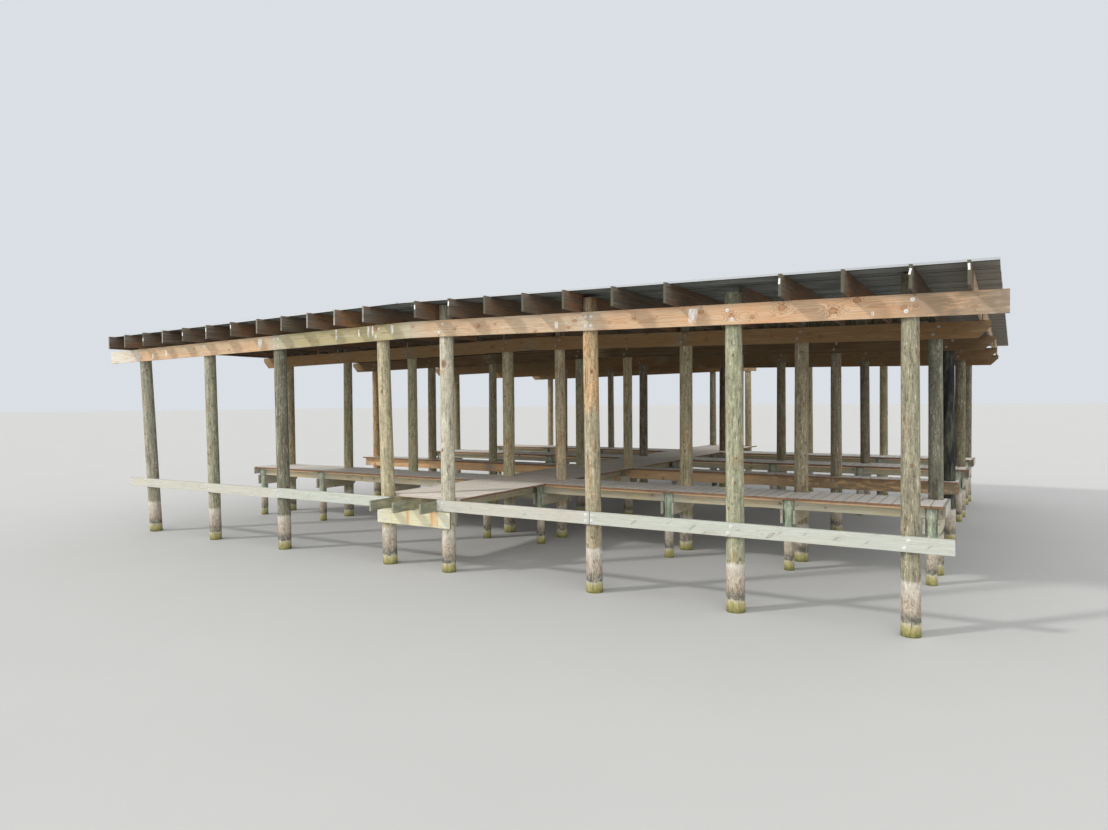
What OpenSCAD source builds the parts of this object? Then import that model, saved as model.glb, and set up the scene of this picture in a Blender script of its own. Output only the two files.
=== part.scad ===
// Covered timber jetty with finger piers on both sides, on round piles.
// X runs along the front, Y runs from the front to the back, Z is up.
// The origin is the centre of the footprint, at the height where the piles are cut off.

/* [Pile grid] */
// Clear middle bay that the walkway runs through, centre to centre
walk_bay = 1400; // [1200:10:1800]
// Bay beside the walkway, centre to centre
inner_bay = 2900; // [2400:10:3400]
// The two outer bays on each side, centre to centre
outer_bay = 2260; // [1900:10:2600]
// Distance of the second row of piles behind the front row
row_2 = 3950; // [3400:10:4400]
// Distance of the third row behind the front row
row_3 = 7370; // [6800:10:7800]
// Distance of the fourth row behind the front row
row_4 = 11450; // [10600:10:12200]
// Distance of the fifth row behind the front row
row_5 = 15000; // [14600:10:15120]
// Distance of the sixth row, which only the left half has, behind the front row
row_6 = 18050; // [17600:10:18700]
// Middle diameter of the round piles
pile_d = 262; // [220:2:300]
// How much the pile diameters differ from the middle one
pile_spread = 14; // [0:1:20]
// Lean of the left front piles away from the walkway, in degrees, from the walkway outwards
lean_left = [1.6, 1.2, 1.8, 4.5]; // [0:0.1:5]
// Lean of the right front piles towards the walkway, in degrees, from the walkway outwards
lean_right = [0.3, 0.7, 0.3, 0.2]; // [0:0.1:1]
// Head of the left front piles as a share of the foot, from the walkway outwards
slim_left = [0.85, 0.98, 0.97, 0.92]; // [0.8:0.01:0.98]
// Head of the right front piles as a share of the foot, from the walkway outwards
slim_right = [0.98, 0.89, 0.87, 0.86]; // [0.8:0.01:0.98]
// Depth of the left front pile heads under the sheets, from the walkway outwards
head_left = [60, 70, 12, 12]; // [10:1:150]
// Depth of the right front pile heads under the sheets, from the walkway outwards
head_right = [12, 50, 110, 18]; // [10:1:150]
// Diameter of the short posts under the fingers
post_d = 180; // [150:2:200]
// Distance of the short posts in front of their pile row
post_reach = 885; // [700:5:1000]

/* [Boards] */
// Thickness of every sawn board
board_t = 38; // [32:1:50]
// Height of the headers, rafters and cap boards
deep_h = 286; // [235:1:300]
// Height of the cross beams and of the narrow finger's beams
beam_h = 235; // [184:1:260]
// Height of the joists and stringers
joist_h = 184; // [140:1:200]
// Height of the bumper boards
bumper_h = 198; // [140:1:200]
// Width of one deck board
deck_w = 184; // [140:1:200]
// Gap between deck boards
deck_gap = 5; // [3:1:12]
// Gap left where two boards meet end to end
butt_gap = 3; // [2:1:8]

/* [Deck] */
// Height of the deck surface above the piles' lower ends
deck_z = 1290; // [1000:10:1600]
// Length of the walkway boards, across the walkway
walk_w = 1829; // [1700:1:1900]
// How far the left, middle and right walkway joists reach out past the front
joist_reach = [680, 680, 585]; // [300:5:680]
// Back end of the walkway, measured from the front row
walk_end = 18420; // [18300:10:18500]
// How far a wide finger's deck reaches in front of its posts
finger_lip = 165; // [120:5:250]
// How far a wide finger's deck reaches behind its piles
finger_back = 130; // [60:5:200]
// Half the width of the narrow finger
narrow_half = 290; // [240:5:340]
// How far the four left fingers reach past the outermost piles, from front to back
over_left = [170, 356, 170, 190]; // [170:1:400]
// How far the four right fingers reach past the outermost piles, from front to back
over_right = [170, 170, 212, 190]; // [170:1:400]
// Height of the right bumper boards over the walkway joists' lower edges
bumper_right_z = 14; // [1:1:30]
// Height of the left inner bumper board over the walkway joists' lower edges
bumper_left_z = 1; // [1:1:30]
// How much lower the left outer bumper board is fixed than the inner one
bumper_step = 13; // [0:1:30]
// How far the left bumper boards reach past the outermost pile
bumper_left = 750; // [200:10:800]
// How far the right bumper boards reach past the outermost pile
bumper_right = 502; // [200:1:800]

/* [Roof] */
// Underside of the headers at the ridge, above the piles' lower ends
header_z = 4147; // [3600:1:4600]
// Fall of the roof from the ridge to each end, per unit of length
fall = 0.0174; // [0.005:0.0001:0.03]
// Reach of the front header to the left of the middle
header_left = 9600; // [9000:10:10000]
// Reach of the front header to the right of the middle
header_right = 9180; // [9000:10:10000]
// Reach of the inner headers to the left of the middle
inner_left = 9000; // [8900:10:9000]
// Reach of the inner headers to the right of the middle
inner_right = 8930; // [8920:10:9000]
// Cut corner at the ends of the inner headers
header_cut = 190; // [100:5:220]
// Overhang of the rafters in front of the front row
rafter_front = 680; // [500:10:900]
// Rafters beside the left pile lines, how far outwards of each line, from the walkway outwards
beside_left = [-35, -60, 90, 5]; // [-190:5:190]
// Rafters beside the right pile lines, how far outwards of each line, from the walkway outwards
beside_right = [-160, -155, 30, 55]; // [-190:5:190]
// Distance of the outermost left rafter from the middle
rafter_left = 8770; // [8600:10:8840]
// Distance of the outermost right rafter from the middle, at the front
rafter_right = 8780; // [8600:10:8780]
// How much further out each length of that rafter lies than the one in front of it
rafter_step = 50; // [40:1:50]
// Front end of the one right rafter that is set back, behind the front row's middle
set_back = 150; // [132:2:300]
// Reach of the roof sheets to the left of the middle
roof_left = 8880; // [8820:10:9100]
// Reach of the roof sheets to the right of the middle, at the front
roof_right = 9080; // [8820:10:9100]
// How much further the last right sheet reaches, because that edge isn't quite square
skew = 90; // [0:10:100]
// Overhang of the roof sheets in front of the front row
roof_front = 530; // [400:10:650]
// Cover width of one roof sheet
sheet_w = 930; // [900:1:950]
// Number of sheets from front to back on the left of the ridge
sheets_left = 21; // [21:1:21]
// Number of sheets from front to back on the right of the ridge
sheets_right = 17; // [17:1:17]
// Height of the main ribs in the sheets
rib_h = 32; // [15:1:40]
// Thickness of the sheet metal
sheet_t = 1.5; // [0.8:0.1:3]

/* [Hidden] */
$fn = 48;
rows = [0, row_2, row_3, row_4, row_5, row_6];
col_in = walk_bay / 2;
cols = [
  for (side = [-1, 1]) for (reach = [0, inner_bay, inner_bay + outer_bay, inner_bay + 2 * outer_bay])
    side * (col_in + reach)
];
col_out = col_in + inner_bay + 2 * outer_bay;
col_joint = col_in + inner_bay;

roof_back_left = sheets_left * sheet_w - roof_front;
roof_back_right = sheets_right * sheet_w - roof_front;
x_mid = (header_right - header_left) / 2;
y_mid = (roof_back_left - rafter_front) / 2;

joist_top = deck_z - board_t;
joist_z = joist_top - joist_h;
beam_z = joist_top - beam_h;
cap_z = joist_z - deep_h;
cross_z = joist_z - beam_h;
post_top = joist_top - 18;
half_walk = walk_w / 2;
joist_x = col_in - pile_d / 2 - pile_spread - board_t / 2 - 2;
stringer_x = joist_x + board_t / 2 + 22;
cap_reach = col_in + pile_d / 2 + 20;
cap_short = col_in + 45;
board_pitch = deck_w + deck_gap;
cut_clear = 8;
lap = 300;
lap_side = board_t + 1;
strip_h = 42;

// Height of the header underside at a distance x from the ridge
function under(x) = header_z - fall * abs(x);
// Height of the rafter underside, clear of the sloping header top
function seat(x) = under(x) + deep_h + fall * board_t / 2;
// Diameter of the pile in one column and row, by a rule that mixes the sizes
function girth(c, r) = pile_d + pile_spread * sin(137.5 * (8 * r + c) + 40);
// Value of one of the four left or four right piles of the front row
function pick(c, left, right) = c < 4 ? left[c] : right[c - 4];
// Depth of a pile head under the sheets
function head(c, r) = r == 0 ? pick(c, head_left, head_right) : 25 + 35 * abs(sin(77 * (5 * r + c)));
// Top of the pile in one column and row, a little under the sheets
function crown(c, r) = seat(abs(cols[c]) + 150) + deep_h - head(c, r);
// Lean of a pile to the left, in degrees
function lean(c, r) = r == 0 ? pick(c, lean_left, lean_right) : 0.35 * sin(99 * (8 * r + c));
// Distance of a leaning pile's head from the middle
function head_reach(c, r) = abs(cols[c] - crown(c, r) * tan(lean(c, r)));
// Head diameter of a pile as a share of its foot diameter
function slim(c, r) = r == 0 ? pick(c, slim_left, slim_right) : 0.9 + 0.05 * sin(61 * (8 * r + c));
// Distance from the middle of one finger's outer end, on the right (side 0) or the left (side 1)
function finger_end(side, finger) = col_out + (side == 0 ? over_right : over_left)[finger];
// Distance from the middle of the rafter that passes one pile line
function rafter_by(c) = abs(cols[c]) + pick(c, beside_left, beside_right);
// Sideways steps of the rafter lengths that pass a row, the inner lengths lying beside the outer ones
function laps(c, r) =
  r == 0 ? [0] : r == 2 ? [-lap_side] : r == 1 || r == 3 ? [-lap_side, 0] : r == 5 ? [-lap_side]
  : c < 4 ? [-lap_side, 0] : [0];

// Moves a shape from the pile grid's own zero to the part's origin
module place() {
  translate([-x_mid, -y_mid, 0]) children();
}

// A board lying along X, given by its ends and its lower front edge
module board_x(x0, x1, y, z, h, t = board_t) {
  translate([x0, y, z]) cube([x1 - x0, t, h]);
}

// A board lying along Y, centred on x
module board_y(x, y0, y1, z, h, t = board_t) {
  translate([x - t / 2, y0, z]) cube([t, y1 - y0, h]);
}

// A round pile that grows thinner upwards and leans, with its front side in one plane with its row
module pole(c, r) {
  d = girth(c, r);
  top = crown(c, r);
  thinning = d * (1 - slim(c, r)) / top;
  sunk = 60;
  translate([cols[c], rows[r] - pile_d / 2, 0]) intersection() {
    rotate([0, -lean(c, r), 0]) rotate([atan(thinning / 2), 0, 0]) translate([0, d / 2, -sunk])
      cylinder(d1 = d + thinning * sunk, d2 = d - thinning * (top + sunk), h = top + 2 * sunk);
    translate([-3 * pile_d, -pile_d, 0]) cube([6 * pile_d, 3 * pile_d, top]);
  }
}

// What is cut off a pile head where a rafter passes over it
module head_cut(c, r) {
  side = sign(cols[c]);
  for (step = laps(c, r)) {
    x = rafter_by(c) + step;
    start = x > head_reach(c, r) ? x - board_t / 2 - 1 : x + board_t / 2 + 1 - 3 * pile_d;
    translate([0, rows[r] - pile_d, seat(x)]) scale([side, 1, 1]) translate([start, 0, 0])
      cube([3 * pile_d, 3 * pile_d, 2 * deep_h]);
  }
}

// One pile with its head trimmed for the rafters and, in some rows, its sides for the cross beams
module pile(c, r, seats) {
  difference() {
    pole(c, r);
    if ((c != 6 || r > 0) && (c < 4 || r < 5)) head_cut(c, r);
    if (seats) {
      for (side = [-1, 1]) {
        translate([cols[c] + side * (post_d / 2 + pile_d) - pile_d, rows[r] - pile_d, cross_z])
          cube([2 * pile_d, 2 * pile_d, beam_h]);
      }
    }
  }
}

// One row of piles, from the first to the last of the given columns
module pile_row(r, seats = false, last = 7) {
  place() for (c = [0 : last]) pile(c, r, seats);
}

module row_1_piles() { color("#9a9a82") pile_row(0); }
module row_2_piles() { color("#8c8c78") pile_row(1, true); }
module row_3_piles() { color("#84806c") pile_row(2); }
module row_4_piles() { color("#7c7864") pile_row(3, true); }
module row_5_piles() { color("#746e5c") pile_row(4, true); }
module row_6_piles() { color("#746e5c") pile_row(5, false, 4); }

// Short posts that carry the front side of a wide finger
module finger_posts(row) {
  place() for (x = cols) translate([x, row - post_reach, 0]) cylinder(d = post_d, h = post_top);
}

module finger_a_posts() { color("#7f9a86") finger_posts(row_2); }
module finger_c_posts() { color("#7f9a86") finger_posts(row_4); }
module finger_d_posts() { color("#7f9a86") finger_posts(row_5); }

// One sloping header board between two distances from the middle, on one side of the ridge
module header_board(x0, x1, cut = 0) {
  outer = abs(x1);
  inner = abs(x0);
  side = sign(x1);
  outline = [
    [inner, under(inner)],
    [outer - cut, under(outer - cut)],
    [outer, under(outer) + cut],
    [outer, under(outer) + deep_h],
    [inner, under(inner) + deep_h]
  ];
  points = cut > 0 ? outline : [outline[0], outline[2], outline[3], outline[4]];
  scale([side, 1, 1]) rotate([90, 0, 0]) linear_extrude(board_t) polygon(points);
}

// A header of four boards that meet at the ridge and at the third and sixth piles
module header(row, left, right, cut = 0) {
  half = butt_gap / 2;
  place() translate([0, row - pile_d / 2, 0]) {
    mirror([1, 0, 0]) header_board(half, col_joint - half);
    mirror([1, 0, 0]) header_board(col_joint + half, left, cut);
    header_board(half, col_joint - half);
    header_board(col_joint + half, right, cut);
  }
}

module front_header_boards() { color("#c99f74") header(0, header_left, header_right); }
module row_2_header() { color("#8a6a4a") header(row_2, inner_left, inner_right, header_cut); }
module row_3_header() { color("#85664a") header(row_3, inner_left, inner_right, header_cut); }
module row_4_header() { color("#806248") header(row_4, inner_left, inner_right, header_cut); }
module row_5_header() { color("#7b5e46") header(row_5, inner_left, inner_right, header_cut); }

// The header of the last row ends beside the walkway, because the right half has no piles there
module row_6_header() {
  half = butt_gap / 2;
  color("#7b5e46") place() translate([0, row_6 - pile_d / 2, 0]) {
    mirror([1, 0, 0]) header_board(half, col_joint - half);
    mirror([1, 0, 0]) header_board(col_joint + half, inner_left, header_cut);
    header_board(half, col_in + 340);
  }
}

// Rafter places of one side, as distances from the middle, evenly spaced between the pile lines
function rafter_places(first) = concat(
  [for (i = [0 : 3]) rafter_by(first) + i * (rafter_by(first + 1) - rafter_by(first)) / 4],
  [for (k = [1, 2]) for (i = [0 : 2])
    rafter_by(first + k) + i * (rafter_by(first + k + 1) - rafter_by(first + k)) / 3],
  [rafter_by(first + 3)]
);

// One length of a rafter at a distance x to one side of the middle
module rafter(side, x, y0, y1) {
  place() board_y(side * x, y0, y1, seat(x), deep_h);
}

// Rafters of the left side, in four lengths that lap beside each other over the headers
module rafters_left() {
  color("#5f5448") for (x = concat(rafter_places(0), [rafter_left])) {
    rafter(-1, x, -rafter_front, row_2 + lap / 2);
    rafter(-1, x - lap_side, row_2 - lap, row_4 + lap / 2);
    rafter(-1, x, row_4 - lap, row_5 + lap / 2);
    rafter(-1, x - lap_side, row_5 - lap, roof_back_left - 60);
  }
}

// Rafters of the right side in three lengths, the outermost one stepping outwards towards the back
module rafters_right() {
  back = roof_back_right - 60;
  color("#5f5448") {
    for (x = rafter_places(4)) {
      rafter(1, x, x == rafter_by(6) ? set_back : -rafter_front, row_2 + lap / 2);
      rafter(1, x - lap_side, row_2 - lap, row_4 + lap / 2);
      rafter(1, x, row_4 - lap, back);
    }
    rafter(1, rafter_right, -rafter_front, row_2 + lap / 2);
    rafter(1, rafter_right + rafter_step, row_2 - lap, row_4 + lap / 2);
    rafter(1, rafter_right + 2 * rafter_step, row_4 - lap, back);
  }
}

// Half the outline of one roof sheet, a row of ribs with two small ribs in each pan
function sheet_line(lift) = [
  for (i = [0 : 2]) for (p = [
    [8, 0], [26, rib_h], [58, rib_h], [76, 0],
    [140, 0], [146, 5], [158, 5], [164, 0],
    [216, 0], [222, 5], [234, 5], [240, 0]
  ]) [i * sheet_w / 3 + p[0], p[1] + lift]
];

// One roof sheet of the right side, from the ridge to the eave
module roof_sheet(y, reach) {
  points = concat(
    [[1, 0]], sheet_line(0), [[sheet_w - 1, 0], [sheet_w - 1, sheet_t]],
    [for (i = [len(sheet_line(0)) - 1 : -1 : 0]) sheet_line(sheet_t)[i]], [[1, sheet_t]]
  );
  translate([0, y, seat(0) + deep_h + 1])
    rotate([0, atan(fall), 0]) translate([4, 0, 0])
      rotate([90, 0, 90]) linear_extrude(reach) polygon(points);
}

module roof_sheets_left() {
  color("#b8bcc0") place() mirror([1, 0, 0])
    for (i = [0 : sheets_left - 1]) roof_sheet(-roof_front + i * sheet_w, roof_left);
}

module roof_sheets_right() {
  color("#b8bcc0") place()
    for (i = [0 : sheets_right - 1])
      roof_sheet(-roof_front + i * sheet_w, roof_right + skew * i / (sheets_right - 1));
}

// Boards across the two walkway piles of every row, which the joists rest on
module walkway_cap_boards() {
  face = pile_d / 2;
  behind = face + 2 * pile_spread;
  color("#a9ad8c") place() {
    board_x(-cap_reach, cap_reach, -face - board_t, cap_z, deep_h);
    board_x(-cap_short, cap_short, behind, cap_z, deep_h);
    board_x(-cap_reach, cap_reach, row_3 - face - 2 * board_t, cap_z, deep_h);
    board_x(-cap_reach, cap_reach, row_3 + behind + board_t, cap_z, deep_h);
    for (row = [row_2, row_4, row_5, row_6]) board_x(-cap_reach, cap_reach, row + behind, cap_z, deep_h);
  }
}

// Three joists under the walkway, each in five lengths that meet over the cap boards
module walkway_joists() {
  seat_y = pile_d / 2 + 2 * pile_spread + board_t / 2;
  color("#77786a") place() for (k = [0 : 2]) {
    stops = [
      -joist_reach[k], row_2 + seat_y, row_3 + seat_y + board_t, row_4 + seat_y, row_5 + seat_y, walk_end
    ];
    for (i = [0 : 4])
      board_y((k - 1) * joist_x, stops[i] + butt_gap / 2, stops[i + 1] - butt_gap / 2, joist_z, joist_h);
  }
}

// Round holes through a deck where the piles of one row pass
module pile_holes(r) {
  for (c = [0 : 7]) {
    d = girth(c, r);
    translate([cols[c] - deck_z * tan(lean(c, r)), rows[r] + (d - pile_d) / 2, deck_z - 2 * board_t])
      cylinder(d = d + 2 * cut_clear, h = 4 * board_t);
  }
}

module walkway_deck() {
  start = 60;
  count = floor((walk_end - start + deck_gap) / board_pitch);
  color("#a89c8c") place() difference() {
    for (i = [0 : count - 1]) {
      ragged = 9 * sin(97 * i);
      board_x(-half_walk - ragged, half_walk + 9 * sin(61 * i), start + i * board_pitch, joist_top,
        board_t, deck_w);
    }
    for (r = [0 : 5]) pile_holes(r);
  }
}

// Pairs of beams beside each post and its pile, with the lower back corner cut off
module cross_beams(row) {
  cut = 110;
  front = row - post_reach - post_d / 2 - 20;
  back = row + pile_d / 2 + pile_spread;
  outline = [
    [front, joist_z], [front, cross_z], [back - cut, cross_z], [back, cross_z + cut], [back, joist_z]
  ];
  place() for (x = cols) for (side = [0, 1])
    translate([x + (side == 0 ? post_d / 2 : -post_d / 2 - board_t), 0, 0])
      rotate([90, 0, 90]) linear_extrude(board_t) polygon(outline);
}

module finger_a_cross_beams() { color("#8f8876") cross_beams(row_2); }
module finger_c_cross_beams() { color("#8f8876") cross_beams(row_4); }
module finger_d_cross_beams() { color("#8f8876") cross_beams(row_5); }

// Bays of one side between the walkway and the finger's end, as pairs of distances
function bay_ends(gap, end) = [
  [stringer_x, col_in - gap], [col_in + gap, col_joint - gap], [col_joint + gap, col_out - outer_bay - gap],
  [col_out - outer_bay + gap, col_out - gap], [col_out + gap, end]
];

// Stringers of a wide finger: one between the posts, one whole in the middle, one between the piles
module stringers(row, finger) {
  front = row - post_reach - board_t / 2;
  middle = row - post_reach / 2 - board_t / 2;
  back = row - board_t / 2;
  place() for (side = [0, 1]) mirror([side, 0, 0]) {
    end = finger_end(side, finger);
    for (bay = [for (b = bay_ends(post_d / 2 + 4, end)) if (b[1] - b[0] > 60) b])
      board_x(bay[0], bay[1], front, joist_z, joist_h);
    for (bay = [for (b = bay_ends(pile_d / 2 + pile_spread + 6, end)) if (b[1] - b[0] > 40) b])
      board_x(bay[0], bay[1], back, joist_z, joist_h);
    board_x(stringer_x, col_joint - butt_gap / 2, middle, joist_z, joist_h);
    board_x(col_joint + butt_gap / 2, end, middle, joist_z, joist_h);
  }
}

module finger_a_stringers() { color("#a09a80") stringers(row_2, 0); }
module finger_c_stringers() { color("#a09a80") stringers(row_4, 2); }
module finger_d_stringers() { color("#a09a80") stringers(row_5, 3); }

// Strips under the front edge of a wide finger's deck, fixed to the front stringers
module nailers(row, finger) {
  front = row - post_reach - board_t / 2 - board_t;
  place() for (side = [0, 1]) mirror([side, 0, 0])
    for (bay = [for (b = bay_ends(post_d / 2 + 14, finger_end(side, finger))) if (b[1] - b[0] > 60) b])
      board_x(bay[0], bay[1], front, joist_top - strip_h, strip_h);
}

module finger_a_nailers() { color("#c98f5a") nailers(row_2, 0); }
module finger_c_nailers() { color("#c98f5a") nailers(row_4, 2); }
module finger_d_nailers() { color("#c98f5a") nailers(row_5, 3); }

// Beams bolted to both faces of the third row, which carry the narrow finger
module finger_b_beams() {
  face = pile_d / 2;
  color("#8a7048") place() for (side = [0, 1]) mirror([side, 0, 0])
    for (y = [row_3 - face - board_t, row_3 + face + 2 * pile_spread]) {
      board_x(stringer_x, col_joint - butt_gap / 2, y, beam_z, beam_h);
      board_x(col_joint + butt_gap / 2, finger_end(side, 1), y, beam_z, beam_h);
    }
}

// Deck boards of one finger on one side, cut round the piles
module finger_deck(side, finger, front, back) {
  start = half_walk + 14;
  end = finger_end(side, finger);
  count = floor((end - start + deck_gap) / board_pitch);
  last = start + count * board_pitch;
  place() difference() {
    mirror([side, 0, 0]) {
      for (i = [0 : count - 1])
        translate([start + i * board_pitch, front + 6 * sin(83 * i), joist_top])
          cube([deck_w, back - front, board_t]);
      if (end - last > 30) translate([last, front, joist_top]) cube([end - last, back - front, board_t]);
    }
    pile_holes(finger + 1);
  }
}

module wide_deck(side, finger) {
  row = rows[finger + 1];
  finger_deck(side, finger, row - post_reach - finger_lip, row + finger_back);
}

module narrow_deck(side) {
  finger_deck(side, 1, row_3 - narrow_half, row_3 + narrow_half);
}

module finger_a_deck_left() { color("#9c938a") wide_deck(1, 0); }
module finger_a_deck_right() { color("#9c938a") wide_deck(0, 0); }
module finger_b_deck_left() { color("#978c80") narrow_deck(1); }
module finger_b_deck_right() { color("#978c80") narrow_deck(0); }
module finger_c_deck_left() { color("#9c938a") wide_deck(1, 2); }
module finger_c_deck_right() { color("#9c938a") wide_deck(0, 2); }
module finger_d_deck_left() { color("#9c938a") wide_deck(1, 3); }
module finger_d_deck_right() { color("#9c938a") wide_deck(0, 3); }

// Boards that close the outer ends of the wide fingers, flush with the deck
module finger_end_boards() {
  color("#a8a8a0") place() for (side = [0, 1]) for (finger = [0, 2, 3]) {
    x = finger_end(side, finger) + board_t / 2;
    row = rows[finger + 1];
    mirror([side, 0, 0])
      board_y(x, row - post_reach - finger_lip, row + finger_back, deck_z - joist_h, joist_h);
  }
}

// Pale rubbing boards along the front row, two on each side of the walkway
module bumper_boards() {
  y = -pile_d / 2 - board_t;
  near = joist_x + board_t / 2 + 6;
  right_z = joist_z + bumper_right_z;
  left_z = joist_z + bumper_left_z;
  color("#d4dccb") place() {
    board_x(near, col_joint - butt_gap / 2, y, right_z, bumper_h);
    board_x(col_joint + butt_gap / 2, col_out + bumper_right, y, right_z, bumper_h);
    board_x(-col_joint + butt_gap / 2, -near, y, left_z, bumper_h);
    board_x(-col_out - bumper_left, -col_joint - butt_gap / 2, y, left_z - bumper_step, bumper_h);
  }
}

row_1_piles();
row_2_piles();
row_3_piles();
row_4_piles();
row_5_piles();
row_6_piles();
finger_a_posts();
finger_c_posts();
finger_d_posts();
front_header_boards();
row_2_header();
row_3_header();
row_4_header();
row_5_header();
row_6_header();
rafters_left();
rafters_right();
roof_sheets_left();
roof_sheets_right();
walkway_cap_boards();
walkway_joists();
walkway_deck();
finger_a_cross_beams();
finger_c_cross_beams();
finger_d_cross_beams();
finger_a_stringers();
finger_b_beams();
finger_c_stringers();
finger_d_stringers();
finger_a_nailers();
finger_c_nailers();
finger_d_nailers();
finger_a_deck_left();
finger_a_deck_right();
finger_b_deck_left();
finger_b_deck_right();
finger_c_deck_left();
finger_c_deck_right();
finger_d_deck_left();
finger_d_deck_right();
finger_end_boards();
bumper_boards();
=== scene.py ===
import math
import random

import bpy
import bmesh
from mathutils import Matrix, Vector, noise
from mathutils.bvhtree import BVHTree


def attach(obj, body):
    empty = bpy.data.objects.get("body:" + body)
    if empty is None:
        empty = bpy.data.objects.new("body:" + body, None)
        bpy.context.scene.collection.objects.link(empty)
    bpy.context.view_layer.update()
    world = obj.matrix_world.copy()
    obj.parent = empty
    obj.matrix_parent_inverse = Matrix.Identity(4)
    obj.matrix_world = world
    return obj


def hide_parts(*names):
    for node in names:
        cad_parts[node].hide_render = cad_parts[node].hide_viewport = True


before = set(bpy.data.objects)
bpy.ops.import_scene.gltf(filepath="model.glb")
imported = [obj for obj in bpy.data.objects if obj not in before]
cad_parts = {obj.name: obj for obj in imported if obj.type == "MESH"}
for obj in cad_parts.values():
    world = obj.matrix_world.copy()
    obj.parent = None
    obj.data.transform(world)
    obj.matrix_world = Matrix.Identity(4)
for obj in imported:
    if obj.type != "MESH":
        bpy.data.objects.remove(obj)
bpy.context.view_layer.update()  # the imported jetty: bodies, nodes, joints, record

print("jetty: frame loaded")

# Places of the pile grid, in metres
grid = {
    "middle": 0.21,  # x of the walkway's middle
    "front": -9.16,  # y of the front row's middle
    "columns": [0.7, 3.6, 5.86, 8.12],  # pile lines, from the middle outwards
    "rows": [0.0, 3.95, 7.37, 11.45, 15.0, 18.05],  # pile rows behind the front row
    "deck": 1.29,
    "headerUnder": 4.147,  # underside of the headers at the ridge
    "fall": 0.0174,
    "headerTall": 0.286,
    "pileAcross": 0.262,
    "boardThick": 0.038,
}
boardFace = -grid["pileAcross"] / 2 - grid["boardThick"]  # front side of a board, from its pile row


def place(x, y, z):  # from the pile grid to the part's own origin
    return Vector((x + grid["middle"], y + grid["front"], z))


def columnAt(column):  # columns 0 to 3 are on the left, 4 to 7 on the right, both from the middle outwards
    return (-1 if column < 4 else 1) * grid["columns"][column % 4]


def headerUnder(x):
    return grid["headerUnder"] - grid["fall"] * abs(x)


def rafterSeat(x):
    return headerUnder(x) + grid["headerTall"] + grid["fall"] * grid["boardThick"] / 2


# Shader writing

def fromLeft(operation):
    return lambda wire, other: wire.maths(operation, other)


def fromRight(operation):
    return lambda wire, other: wire.maths(operation, other, swap=True)


class Wire:  # a socket that can stand in a Python expression
    def __init__(self, shader, socket):
        self.shader = shader
        self.socket = socket

    def maths(self, operation, other=None, swap=False, clamp=False):
        values = [self] if other is None else [other, self] if swap else [self, other]
        return self.shader.node("Math", dict(enumerate(values)), operation=operation, use_clamp=clamp)

    __add__ = fromLeft("ADD")
    __radd__ = fromRight("ADD")
    __sub__ = fromLeft("SUBTRACT")
    __rsub__ = fromRight("SUBTRACT")
    __mul__ = fromLeft("MULTIPLY")
    __truediv__ = fromLeft("DIVIDE")
    __pow__ = fromLeft("POWER")
    most = fromLeft("MAXIMUM")

    def __abs__(self):
        return self.maths("ABSOLUTE")

    def clamp(self):  # kept between 0 and 1
        return self.maths("ADD", 0.0, clamp=True)

    def swing(self):  # 0 to 1 and back with each full turn
        return self.maths("SINE") * 0.5 + 0.5

    def band(self, low, high):  # 0 below low, 1 above high, smooth between; high may be below low
        return self.shader.node("MapRange", {0: self, 1: low, 2: high, 3: 0.0, 4: 1.0},
                                interpolation_type="SMOOTHSTEP")

    def also(self, name):  # another output of the same node
        return Wire(self.shader, self.socket.node.outputs[name])


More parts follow.
